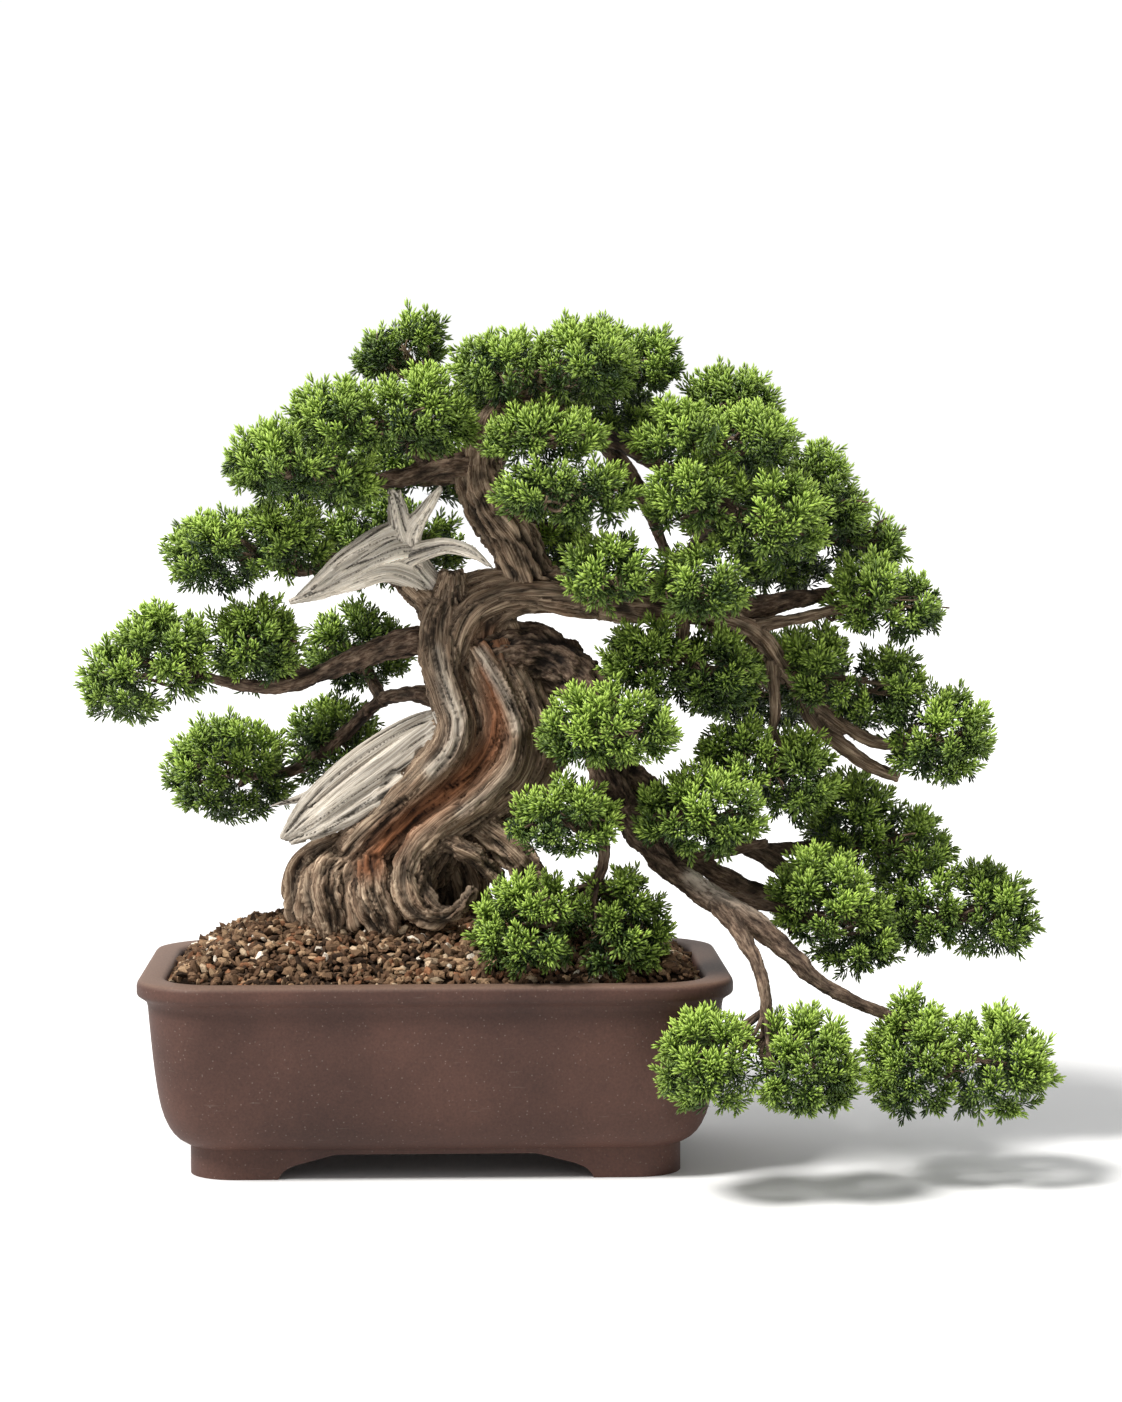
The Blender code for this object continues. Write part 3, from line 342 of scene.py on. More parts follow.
# ============================================================================ soil
# A mound of fired clay and lava granules, raked up round the roots by hand, fines between them.
# The screens and the drainage grit below stay as they are modelled and only take a material.
SOIL_EDGE = 0.1200
SOIL_CROWN = 0.0375
RIM_WALL = 0.0195               # from the rim's outline to the wall's inner face
MOUND_WALL = 0.0190             # to where the mound starts, the fines end and the last granules lie
FINES_WALL = 0.0205
GRANULE_WALL = 0.020
FINES_BELOW = 0.0042            # how far the bed of fines lies under the granules
FINES_BOTTOM = 0.105
FINES_TONE = (0.030, 0.018, 0.011, 1.0)
GRANULES = 6800
GRANULE_LEAST = 0.0019          # radius, and how much larger the largest are
GRANULE_SPREAD = 0.0021
GRANULE_TONES = [(0.105, 0.062, 0.036), (0.075, 0.042, 0.024), (0.035, 0.021, 0.013),
                 (0.160, 0.098, 0.056), (0.230, 0.150, 0.088), (0.150, 0.070, 0.036),
                 (0.320, 0.240, 0.160), (0.520, 0.460, 0.380)]
TONE_SHARES = [0.24, 0.20, 0.15, 0.17, 0.11, 0.06, 0.05, 0.02]
STEEL_DARK, STEEL_PALE = (0.10, 0.10, 0.10), (0.28, 0.28, 0.27)
PUMICE_PALE, PUMICE_DARK = (0.42, 0.37, 0.31), (0.10, 0.08, 0.06)


def soil_height(x, y):
    """Height of the mound at a place measured from the pot's middle."""
    inset = min(POT_HALF_LENGTH - abs(x), POT_HALF_WIDTH - abs(y)) - MOUND_WALL
    share = max(0.0, min(1.0, inset / (POT_HALF_WIDTH - MOUND_WALL)))
    swell = 0.0022 * noise.noise(Vector((x * 22, y * 22, 4.0)))
    swell += 0.0016 * noise.noise(Vector((x * 60, y * 60, 1.0)))
    return SOIL_EDGE + SOIL_CROWN * (1 - (1 - share) ** 1.9) + swell


def inside_rim(x, y, margin):
    """Whether a place from the pot's middle lies inside the pot's wall by this margin."""
    half_x, half_y = POT_HALF_LENGTH - RIM_WALL - margin, POT_HALF_WIDTH - RIM_WALL - margin
    radius = POT_CORNER - 0.012
    over_x, over_y = abs(x) - (half_x - radius), abs(y) - (half_y - radius)
    if over_x > 0 and over_y > 0:
        return math.hypot(over_x, over_y) < radius
    return abs(x) < half_x and abs(y) < half_y


soil_material, shader, node, ramp, mix, link = new_material("soil_granules", 0.92)
own = node("ShaderNodeAttribute", {"attribute_name": "tone"}).outputs["Color"]
place = node("ShaderNodeTexCoord").outputs["Object"]
pores = node("ShaderNodeTexNoise", Vector=place, Scale=900.0, Detail=3.0, Roughness=0.7).outputs["Fac"]
link(mix(0.8, own, ramp(pores, [(0.30, 0.45), (0.70, 1.35)]), "MULTIPLY"), shader.inputs["Base Color"])
link(node("ShaderNodeBump", Strength=0.5, Distance=0.0006, Height=pores).outputs[0], shader.inputs["Normal"])
shader.inputs["Specular IOR Level"].default_value = 0.15

random = np.random.default_rng(41)
grain_bm = bmesh.new()
tone_layer = grain_bm.verts.layers.float_color.new("tone")
# the fines the granules lie in
bed = bmesh.ops.create_grid(grain_bm, x_segments=110, y_segments=66, size=1.0)["verts"]
outside = []
for vert in bed:
    across, along = vert.co.x * (POT_HALF_LENGTH - FINES_WALL), vert.co.y * (POT_HALF_WIDTH - FINES_WALL)
    vert.co = MIDDLE + Vector((across, along, soil_height(across, along) - FINES_BELOW))
    vert[tone_layer] = FINES_TONE
    if not inside_rim(across, along, 0.0006):
        outside.append(vert)
bmesh.ops.delete(grain_bm, geom=outside, context="VERTS")
edge = [border for border in grain_bm.edges if border.is_boundary]
skirt = bmesh.ops.extrude_edge_only(grain_bm, edges=edge)["geom"]
bottom = [item for item in skirt if isinstance(item, bmesh.types.BMVert)]
for vert in bottom:
    vert.co.z = FINES_BOTTOM
    vert[tone_layer] = FINES_TONE
rim = [item for item in skirt if isinstance(item, bmesh.types.BMEdge)]
bmesh.ops.contextual_create(grain_bm, geom=rim)
bmesh.ops.recalc_face_normals(grain_bm, faces=grain_bm.faces)
bed_mesh = mesh_object(grain_bm, "soil_fines", soil_material)
# the granules: one pebble, chipped, flattened and turned another way each time
pebble_bm = bmesh.new()
bmesh.ops.create_icosphere(pebble_bm, subdivisions=1, radius=1.0)
pebble = np.array([vert.co[:] for vert in pebble_bm.verts])
pebble_faces = np.array([[vert.index for vert in face.verts] for face in pebble_bm.faces])
pebble_bm.free()
spots, scales, spins, tones = [], [], [], []
while len(spots) < GRANULES:
    x = random.uniform(-1, 1) * (POT_HALF_LENGTH - GRANULE_WALL)
    y = random.uniform(-1, 1) * (POT_HALF_WIDTH - GRANULE_WALL)
    size = GRANULE_LEAST + GRANULE_SPREAD * random.random() ** 1.6
    if not inside_rim(x, y, size * 0.55):
        continue
    spots.append(MIDDLE + Vector((x, y, soil_height(x, y) + random.uniform(-0.0022, 0.0006))))
    long, wide, thick = random.uniform(0.80, 1.75), random.uniform(0.65, 1.0), random.uniform(0.40, 0.85)
    scales.append(size * np.array((long, wide, thick)))
    spins.append(Matrix.Rotation(random.uniform(0, math.tau), 3, Vector(random.normal(0, 1, 3)).normalized()))
    tone = GRANULE_TONES[random.choice(len(GRANULE_TONES), p=TONE_SHARES)]
    tones.append(np.array(tone) * random.uniform(0.9, 2.0))
chipped = pebble[None] * random.uniform(0.78, 1.20, (GRANULES, len(pebble), 1)) * np.array(scales)[:, None, :]
corners = np.einsum("nij,nvj->nvi", np.array(spins), chipped) + np.array(spots)[:, None, :]
granules = bpy.data.meshes.new("soil_granules")
first = np.arange(GRANULES) * len(pebble)
triangles = (pebble_faces[None] + first[:, None, None]).reshape(-1, 3)
granules.from_pydata(corners.reshape(-1, 3), [], triangles.tolist())
tone_of = granules.attributes.new("tone", "FLOAT_COLOR", "POINT")
colours = np.column_stack([tones, np.ones(GRANULES)])
tone_of.data.foreach_set("color", np.repeat(colours, len(pebble), axis=0).ravel())
granules.materials.append(soil_material)
whole = bmesh.new()
whole.from_mesh(bed_mesh.data)
whole.from_mesh(granules)
bpy.data.objects.remove(bed_mesh)
bpy.data.meshes.remove(granules)
soil = mesh_object(whole, "soil_granules", soil_material, smooth=False)
settle(soil, "soil", "soil")

steel, shader, node, ramp, mix, link = new_material("screen_steel", 0.4)
place = node("ShaderNodeTexCoord").outputs["Object"]
tarnish = node("ShaderNodeTexNoise", Vector=place, Scale=180.0, Detail=2.0).outputs["Fac"]
link(ramp(tarnish, [(0.35, STEEL_DARK), (0.65, STEEL_PALE)]), shader.inputs["Base Color"])
shader.inputs["Metallic"].default_value = 1.0
pumice, shader, node, ramp, mix, link = new_material("pumice_grit", 0.95)
place = node("ShaderNodeTexCoord").outputs["Object"]
pebbles = node("ShaderNodeTexVoronoi", Vector=place, Scale=190.0).outputs["Distance"]
link(ramp(pebbles, [(0.2, PUMICE_PALE), (0.7, PUMICE_DARK)]), shader.inputs["Base Color"])
dressed = {"drain_screen_left": steel, "drain_screen_right": steel, "drainage_grit": pumice}
for name, material in dressed.items():
    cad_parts[name].data.materials.clear()
    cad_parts[name].data.materials.append(material)

# ============================================================================ trunk
# A very old trunk: muscles of living wood twisted round each other, weathered to grey-brown
# ridges, with a red-brown groove of younger bark, spreading roots, and painted shade round a hollow at its
# foot.
# Each strand is a line of (x, y, z, radius) in millimetres from the middle of the pot's base.
TRUNK_STRANDS = [
    [(-33, 6, 143, 28), (-27, 8, 175, 27), (-13, 4, 198, 25.5), (11, 2, 220, 21.5), (30, 2, 239, 20.5),
     (39, 2, 258, 19), (36, 2, 279, 17), (26, 2, 298, 15.5), (17, 2, 317, 14.5), (13, 2, 337, 14.5),
     (17, 2, 353, 13.5), (36, 2, 361, 13), (64, 2, 362, 12)],
    [(10, -8, 359, 9.5), (4, -12, 343, 11), (2, -14, 328, 11.5), (4, -18, 311, 11.5), (9, -24, 293, 12),
     (13, -28, 278, 12.5), (9, -31, 262, 12.5), (-3, -33, 248, 12.5), (-16, -34, 236, 12.5),
     (-30, -34, 223, 12), (-43, -34, 211, 11.5), (-54, -32, 198, 9.5)],
    [(22, -4, 330, 7.5), (27, -8, 313, 8.5), (33, -12, 296, 9), (37, -15, 279, 10), (34, -19, 262, 11.5),
     (22, -23, 246, 12), (4, -27, 232, 12), (-15, -29, 220, 11.5), (-31, -31, 205, 11.5),
     (-44, -33, 190, 11.5), (-49, -35, 174, 11.5), (-46, -35, 152, 12)],
    [(27, -16, 327, 5), (35, -22, 313, 6.5), (43, -27, 297, 7), (50, -29, 281, 7.5), (51, -31, 265, 7.5),
     (46, -32, 250, 7.5), (32, -34, 236, 7), (17, -36, 225, 7), (1, -39, 214, 7), (-12, -42, 203, 7),
     (-19, -45, 189, 7.5), (-19, -47, 176, 7.5), (-14, -48, 164, 7), (-4, -50, 158, 5.5),
     (8, -52, 159, 4.5), (17, -52, 167, 3.5), (24, -50, 176, 3)],
    [(41, -6, 330, 7.5), (46, -10, 315, 7.5), (54, -14, 298, 8), (60, -17, 280, 9), (62, -18, 261, 9),
     (54, -20, 242, 9), (39, -24, 228, 8), (22, -30, 217, 7.5), (7, -34, 209, 7), (-4, -38, 199, 5.5),
     (-9, -41, 186, 5), (-7, -44, 173, 5), (0, -47, 165, 4.5), (9, -48, 163, 3)],
    [(41, 2, 340, 9.5), (51, 4, 320, 10), (61, 4, 298, 11), (69, 4, 277, 11), (72, 4, 258, 11.5),
     (63, 2, 238, 11.5), (48, 0, 222, 11.5), (33, -6, 211, 11.5), (27, -12, 202, 9.5)],
    [(21, -18, 220, 8), (33, -24, 211, 9.5), (45, -27, 201, 10), (54, -29, 191, 9.5), (62, -30, 179, 8),
     (67, -30, 164, 7), (70, -30, 141, 5)],
    [(3, -34, 206, 5.5), (13, -38, 202, 6.5), (24, -39, 196, 6.5), (34, -37, 187, 5.5), (42, -35, 177, 5),
     (47, -35, 164, 4.5), (51, -34, 142, 4)],
    [(64, 12, 273, 8.5), (77, 10, 258, 7), (75, 8, 247, 7.5), (61, 6, 232, 8.5)],
    [(-39, -18, 207, 9.5), (-57, -20, 200, 9.5), (-72, -22, 197, 8.5), (-83, -23, 189, 8),
     (-87, -23, 178, 8), (-86, -23, 163, 8.5), (-83, -22, 141, 8)],
    [(-50, -24, 198, 10), (-64, -28, 190, 12), (-76, -30, 178, 12.5), (-79, -30, 162, 12),
     (-77, -28, 143, 10)],
    [(-57, -28, 194, 9), (-68, -36, 185, 10.5), (-71, -40, 174, 12), (-68, -40, 161, 11.5),
     (-66, -38, 143, 8)],
    [(-39, -26, 200, 10), (-41, -38, 186, 11.5), (-40, -42, 172, 12.5), (-35, -42, 159, 12),
     (-28, -40, 143, 9)],
    [(13, 12, 197, 13.5), (20, 14, 175, 13.5), (23, 14, 139, 13.5)],
    [(3, 30, 133, 15.5), (9, 30, 166, 17), (29, 24, 198, 18), (45, 16, 225, 16.5), (49, 14, 252, 14),
     (42, 14, 281, 14), (29, 14, 304, 13), (20, 14, 330, 13), (19, 12, 355, 11.5)],
    [(-59, 26, 134, 14), (-52, 26, 173, 17), (-30, 26, 203, 18), (-4, 24, 226, 17), (16, 22, 252, 15.5),
     (15, 20, 284, 14), (8, 18, 310, 13), (4, 16, 336, 11.5), (6, 12, 355, 9.5)],
    [(11, -12, 313, 7.5), (13, -14, 328, 9), (18, -14, 341, 9.5), (27, -12, 351, 9.5), (41, -10, 357, 9.5),
     (60, -10, 359, 9.5), (83, -10, 357, 9.5), (105, -10, 354, 8.5)],
    [(31, -6, 330, 7), (34, -6, 341, 7.5), (43, -6, 350, 8.5), (60, -5, 355, 8.5), (83, -5, 356, 7.5)],
    [(10, -4, 348, 11), (8, -10, 359, 11), (10, -14, 369, 9.5), (10, -15, 375, 7.5)],
    [(4, -2, 342, 11), (-4, -6, 353, 9.5), (-13, -12, 362, 8), (-20, -18, 369, 7.5)],
]
GROOVE = [(28, -30, 309), (34, -30, 294), (38, -31, 280), (34, -33, 264), (20, -36, 247), (2, -40, 233),
          (-16, -42, 220), (-31, -46, 206), (-42, -48, 191)]
ARCH_UNDERSIDE = [(35, -18, 331), (49, -18, 326), (67, -10, 331), (79, -10, 342)]
PALE_EDGES = [
    [(1, -30, 325), (7, -36, 300), (14, -40, 282), (9, -44, 264), (-3, -46, 251)],
    [(28, -26, 325), (36, -32, 311), (46, -38, 294), (51, -41, 277)],
    [(48, -45, 251), (34, -46, 236), (17, -48, 225)],
    [(22, -28, 357), (41, -26, 363)],
]
HOLLOW_SHADE_CENTRE = (8, -40, 178)
ROPED_STRANDS = (1, 2, 4, 5, 14, 15, 16)
ROPES = 3                       # round each roped strand, in shares of its radius
ROPE_OUT = 0.60
ROPE_THICK = 0.50
VOXEL_TRUNK = 0.00138
CORE_SWELL = 1.18               # the core and the muscles round it have thickened over the years
MUSCLE_SWELL = 1.08
BARK_DARK = (0.026, 0.0150, 0.0090)
BARK_MID = (0.195, 0.130, 0.085)
BARK_TAN = (0.620, 0.490, 0.350)
BARK_RED = (0.255, 0.095, 0.038)
BLEACHED = (0.560, 0.500, 0.415)


def smooth_line(points, spacing):
    """Points and radii along a smooth line, in metres in the plant's frame."""
    line = np.array(points, float) * 0.001
    line[:, :3] += np.array(MIDDLE)
    ends = np.vstack([2 * line[0] - line[1], line, 2 * line[-1] - line[-2]])
    smooth = []
    for before, start, stop, after in zip(ends, ends[1:], ends[2:], ends[3:]):
        steps = max(1, round(np.linalg.norm((stop - start)[:3]) / spacing))
        t = (np.arange(steps) / steps)[:, None]
        curve = 2 * before - 5 * start + 4 * stop - after
        smooth.append(0.5 * (2 * start + (stop - before) * t + curve * t ** 2
                             + (3 * start - 3 * stop + after - before) * t ** 3))
    smooth = np.vstack([*smooth, line[-1:]])
    smooth[:, 3] = np.maximum(smooth[:, 3], 0.0006)
    return smooth


def tubes(name, lines, sides=3):
    """Closed tapering tubes along the lines, as one object."""
    curve = bpy.data.curves.new(name, "CURVE")
    curve.dimensions = "3D"
    curve.bevel_depth = 1.0
    curve.bevel_resolution = sides
    curve.use_fill_caps = True
    for line in lines:
        spline = curve.splines.new("POLY")
        spline.points.add(len(line) - 1)
        spline.points.foreach_set("co", np.column_stack([line[:, :3], np.ones(len(line))]).ravel())
        spline.points.foreach_set("radius", line[:, 3])
    holder = bpy.data.objects.new(name, curve)
    scene.collection.objects.link(holder)
    mesh = bpy.data.meshes.new_from_object(holder.evaluated_get(bpy.context.evaluated_depsgraph_get()))
    bpy.data.objects.remove(holder)
    bm = bmesh.new()
    bm.from_mesh(mesh)
    bmesh.ops.remove_doubles(bm, verts=bm.verts, dist=0.000002)
    bmesh.ops.recalc_face_normals(bm, faces=bm.faces)
    return mesh_object(bm, name)


def grown_together(made, voxel, smoothing=2):
    """The overlapping tubes as one skin."""
    skin = made.modifiers.new("skin", "REMESH")
    skin.mode = "VOXEL"
    skin.voxel_size = voxel
    apply_modifiers(made)
    soften = made.modifiers.new("soften", "SMOOTH")
    soften.factor = 0.5
    soften.iterations = smoothing
    apply_modifiers(made)
    return made


def points_of(mesh):
    """The places of a mesh's points, one row each."""
    points = np.empty(len(mesh.vertices) * 3)
    mesh.vertices.foreach_get("co", points)
    return points.reshape(-1, 3)


def normals_of(mesh):
    """The way each of a mesh's points faces."""
    normals = np.empty(len(mesh.vertices) * 3, dtype=np.float32)
    mesh.vertex_normals.foreach_get("vector", normals)
    return normals.reshape(-1, 3).astype(float)


def grain_of(points, lines, twist=0.0):
    """For every point: its place round and along the nearest line, and that line's radius there."""
    centres, radii, ahead, across, travelled, strand = [], [], [], [], [], []
    for number, line in enumerate(lines):
        spots = line[:, :3]
        tangent = np.gradient(spots, axis=0)
        tangent /= np.linalg.norm(tangent, axis=1, keepdims=True)
        side = np.cross(tangent[0], [0.3, 1.0, 0.2])
        sides = []
        for forward in tangent:
            side = side - forward * (side @ forward)
            side = side / np.linalg.norm(side)
            sides.append(side)
        centres.append(spots)
        radii.append(line[:, 3])
        ahead.append(tangent)
        across.append(np.array(sides))
        travelled.append(np.concatenate([[0], np.cumsum(np.linalg.norm(np.diff(spots, axis=0), axis=1))]))
        strand.append(np.full(len(spots), number))
    centres, radii, ahead = np.vstack(centres), np.concatenate(radii), np.vstack(ahead)
    across, travelled, strand = np.vstack(across), np.concatenate(travelled), np.concatenate(strand)
    nearest = np.empty(len(points), int)
    for start in range(0, len(points), 4000):
        gap = np.linalg.norm(points[start:start + 4000, None] - centres[None], axis=2) - radii[None]
        nearest[start:start + 4000] = gap.argmin(axis=1)
    offset = points - centres[nearest]
    forward = (offset * ahead[nearest]).sum(1)
    offset -= ahead[nearest] * forward[:, None]
    over = np.cross(ahead[nearest], across[nearest])
    turn = np.arctan2((offset * over).sum(1), (offset * across[nearest]).sum(1))
    length = travelled[nearest] + forward
    turn = turn + twist * length
    wide = radii[nearest]
    shift = strand[nearest] * 0.137
    grain = np.column_stack([np.cos(turn) * wide + shift, np.sin(turn) * wide - shift, length + shift])
    return grain, wide


def streaks(grain, across, along, octaves=3):
    """Noise drawn out along the grain, about -1 to 1."""
    stretched = grain * np.array([across, across, along])
    return np.array([noise.fractal(Vector(spot), 0.9, 2.1, octaves) for spot in stretched])


def near_line(points, line, reach):
    """1 on a line of millimetre points, falling smoothly to 0 at reach."""
    spots = smooth_line([(*spot, 1.0) for spot in line], 0.003)[:, :3]
    gap = np.linalg.norm(points[:, None] - spots[None], axis=2).min(axis=1)
    return np.clip(1 - gap / reach, 0, 1) ** 1.3


def dress_wood(made, lines, relief, name, red=None, pale=None, dark=None, twist=0.0):
    """Pushes the skin in and out by the relief and keeps its grain, wear and painted shade for the material.
    """
    points = points_of(made.data)
    grain, wide = grain_of(points, lines, twist)
    height = relief(grain, wide, points)
    made.data.vertices.foreach_set("co", (points + normals_of(made.data) * height[:, None]).ravel())
    made.data.update()
    scale = np.percentile(np.abs(height), 96)
    wear = np.column_stack([np.clip(0.5 + 0.5 * height / scale, 0, 1),
                            np.zeros(len(points)) if red is None else red,
                            np.zeros(len(points)) if pale is None else pale,
                            np.zeros(len(points)) if dark is None else dark])
    layer = made.data.attributes.new("wear", "FLOAT_COLOR", "POINT")
    layer.data.foreach_set("color", wear.ravel())
    layer = made.data.attributes.new("grain", "FLOAT_VECTOR", "POINT")
    layer.data.foreach_set("vector", grain.ravel())
    made.data.name = made.name = name
    made.data.polygons.foreach_set("use_smooth", [True] * len(made.data.polygons))
    return made


def wood_material(name, dark, middle, light, red, pale, across, along, bump):
    """Fibrous wood: streaks that follow the grain, cracks painted dark as shade, ridges painted lighter."""
    material, shader, node, ramp, mix, link = new_material(name, 0.78)
    grain = node("ShaderNodeAttribute", {"attribute_name": "grain"}).outputs["Vector"]
    wear = node("ShaderNodeAttribute", {"attribute_name": "wear"})
    shade_and_wear_channels = node("ShaderNodeSeparateColor", Color=wear.outputs["Color"]).outputs
    stretched = node("ShaderNodeMapping", Vector=grain)
    stretched.inputs["Scale"].default_value = (across, across, along)
    fibre = node("ShaderNodeTexNoise", Vector=stretched.outputs[0], Scale=1.0, Detail=5.0, Roughness=0.65,
                 Distortion=0.4).outputs["Fac"]
    coarse = node("ShaderNodeMapping", Vector=grain)
    coarse.inputs["Scale"].default_value = (across * 0.22, across * 0.22, along * 0.5)
    band = node("ShaderNodeTexNoise", Vector=coarse.outputs[0], Scale=1.0, Detail=3.0).outputs["Fac"]
    between = tuple(0.5 * (a + b) for a, b in zip(middle, light))
    deep_red, cave = tuple(c * 0.35 for c in red), tuple(c * 0.35 for c in dark)
    base = ramp(fibre, [(0.30, dark), (0.46, middle), (0.60, between), (0.74, light)])
    banded = mix(0.55, base, ramp(band, [(0.30, (0.45, 0.42, 0.40)), (0.70, (1.45, 1.42, 1.38))]), "MULTIPLY")
    rusty = mix(shade_and_wear_channels[1], banded, mix(ramp(fibre, [(0.30, 0.0), (0.62, 1.0)]), deep_red, red))
    silver = mix(shade_and_wear_channels[2], rusty, mix(ramp(fibre, [(0.32, 0.0), (0.50, 1.0)]), middle, pale))
    # painted light and shade: the colour darkens where the relief sinks into cracks and lightens on the
    # ridges
    depth = ramp(shade_and_wear_channels[0], [(0.05, 0.15), (0.38, 0.70), (0.55, 1.0), (0.95, 1.42)])
    # painted shade: the Alpha channel darkens the colour toward the cave tone, round the trunk's hollow and
    # over the whole lower deadwood blade
    with_painted_shade = mix(wear.outputs["Alpha"], mix(1.0, silver, depth, "MULTIPLY"), cave)
    link(with_painted_shade, shader.inputs["Base Color"])
    raised = node("ShaderNodeBump", Strength=bump, Distance=0.0018, Height=fibre)
    link(raised.outputs[0], shader.inputs["Normal"])
    shader.inputs["Specular IOR Level"].default_value = 0.25
    return material


def trunk_relief(grain, wide, points):
    """Long strips and fibres with deep cracks, and flakes of old bark."""
    strips = streaks(grain, 190, 8, 3)
    fibres = streaks(grain, 560, 24, 2)
    lumps = streaks(grain + 11.0, 55, 28, 2)
    plates = np.clip(streaks(grain + 3.0, 230, 70, 3) * 3.0, -1, 1)
    cracks = -np.clip(np.abs(streaks(grain + 7.0, 220, 11, 2)) * -7 + 1, 0, 1)
    rough = np.clip((0.232 - points[:, 2]) / 0.045, 0.30, 1)    # flaking bark is left near the roots
    return 0.0015 * strips + 0.0006 * fibres + 0.0012 * lumps + 0.0019 * rough * plates + 0.0024 * cracks


trunk_wood = wood_material("trunk_bark", BARK_DARK, BARK_MID, BARK_TAN, BARK_RED, BLEACHED,
                           across=900.0, along=42.0, bump=0.75)
trunk_lines = [smooth_line(strand, 0.004) for strand in TRUNK_STRANDS]
for number, line in enumerate(trunk_lines):
    line[:, 3] *= CORE_SWELL if number == 0 else MUSCLE_SWELL
# finer ropes wind along each of the longest muscles
ropes = []
for number, line in enumerate(trunk_lines[index] for index in ROPED_STRANDS):
    ahead = np.gradient(line[:, :3], axis=0)
    ahead /= np.linalg.norm(ahead, axis=1, keepdims=True)
    side = np.cross(ahead, [0.2, 1.0, 0.1])
    side /= np.linalg.norm(side, axis=1, keepdims=True)
    over = np.cross(ahead, side)
    share = np.linspace(0, 1, len(line))[:, None]
    for rope in range(ROPES):
        turn = math.tau * rope / ROPES + 2.0 * share + 0.8 * number
        rope_line = line.copy()
        rope_line[:, :3] += (side * np.cos(turn) + over * np.sin(turn)) * line[:, 3:] * ROPE_OUT
        rope_line[:, 3] *= ROPE_THICK + 0.10 * np.sin(7 * share[:, 0] + 2.1 * rope + number)
        ropes.append(rope_line)
trunk = grown_together(tubes("trunk_skin", trunk_lines + ropes), VOXEL_TRUNK, 5)
spots = points_of(trunk.data)
red = 1.35 * near_line(spots, GROOVE, 0.016) + 1.1 * near_line(spots, ARCH_UNDERSIDE, 0.016)
red = np.clip(red, 0, 0.95)
pale = np.clip(sum(near_line(spots, line, 0.008) for line in PALE_EDGES), 0, 0.8)
# painted shade: the bark is painted darker toward the hollow at the trunk's foot
cave = np.array(MIDDLE) + np.array(HOLLOW_SHADE_CENTRE) * 0.001
dark = np.clip(1.25 - np.linalg.norm((spots - cave) / [0.022, 0.020, 0.022], axis=1), 0, 1)
trunk = dress_wood(trunk, trunk_lines + ropes, trunk_relief, "trunk_bark", red, pale, dark, 5.0)
trunk.data.materials.append(trunk_wood)
settle(trunk, "trunk_bark", "trunk")

# ============================================================================ deadwood
# Two dead branches stripped of their bark and bleached silver: a forked one that crosses in front
# of the trunk's head and a broad blade low on the left, both with deep lengthwise cracks.
UPPER_STRANDS = [
    [(-4, -8, 362, 7.5), (-19, -22, 373, 9), (-34, -30, 376, 9), (-53, -35, 369, 7), (-73, -37, 361, 4),
     (-91, -38, 355, 1.5)],
    [(-11, -18, 387, 7.5), (-24, -28, 388, 9), (-41, -34, 381, 8), (-58, -38, 372, 6.5),
     (-75, -39, 362, 3), (-91, -39, 356, 1.5)],
    [(-17, -24, 401, 7), (-31, -30, 398, 7), (-46, -34, 391, 5.5), (-59, -36, 383, 4.5),
     (-73, -38, 371, 2.5), (-89, -39, 357, 1)],
    [(-17, -22, 387, 8), (-22, -28, 401, 7.5), (-24, -31, 412, 6.5), (-26, -32, 421, 4.5),
     (-28, -32, 426, 2.5)],
    [(-21, -28, 404, 5), (-21, -31, 414, 4), (-22, -32, 421, 2.5), (-22, -32, 426, 1.5)],
    [(-17, -22, 387, 8), (-14, -28, 401, 7), (-7, -31, 412, 5), (-1, -33, 421, 3.5), (4, -34, 428, 1.5)],
    [(-19, -22, 383, 8), (-6, -30, 388, 6.5), (8, -36, 391, 5), (21, -40, 388, 4), (30, -42, 382, 2.5),
     (37, -42, 376, 1)],
    [(7, -4, 358, 9), (-2, -10, 366, 9), (-13, -18, 378, 9.5)],
]
LOWER_STRANDS = [
    [(13, -14, 279, 7.5), (-7, -24, 270, 9), (-29, -32, 254, 9.5), (-54, -38, 237, 8),
     (-74, -42, 222, 6.5), (-95, -45, 207, 2)],
    [(8, -12, 284, 5.5), (-13, -22, 278, 6.5), (-38, -30, 264, 7), (-63, -36, 246, 6.5),
     (-82, -40, 228, 5), (-97, -44, 208, 1.5)],
    [(11, -16, 264, 6.5), (-7, -26, 252, 7.5), (-29, -34, 237, 7.5), (-52, -40, 223, 6.5),
     (-72, -44, 213, 4.5), (-91, -46, 205, 1.5)],
    [(-22, -24, 266, 5), (-48, -28, 252, 4.5), (-70, -30, 239, 4), (-85, -31, 232, 3), (-103, -32, 227, 1)],
    [(0, -26, 286, 2.5), (5, -32, 273, 3), (-1, -38, 258, 3.5), (-17, -41, 243, 3), (-32, -42, 230, 2.5)],
]
DEAD_DARK = (0.110, 0.078, 0.052)
DEAD_MID = (0.680, 0.610, 0.510)
DEAD_LIGHT = (0.940, 0.905, 0.835)
LOWER_BLADE_SHADE = 0.26               # painted shade: the lower blade's colour is darkened all over
BLADE_DEPTH = 0.62              # both are flatter than they are tall
VOXEL_BLADE = 0.00085


def dead_relief(grain, wide, points):
    """Flutes, fine fibres and deep cracks along the blade."""
    flutes = streaks(grain, 200, 5, 2)
    cracks = -np.clip(np.abs(streaks(grain + 5.0, 170, 6, 2)) * -9 + 1, 0, 1)
    return 0.0010 * flutes + 0.0003 * streaks(grain, 900, 20, 2) + 0.0018 * cracks


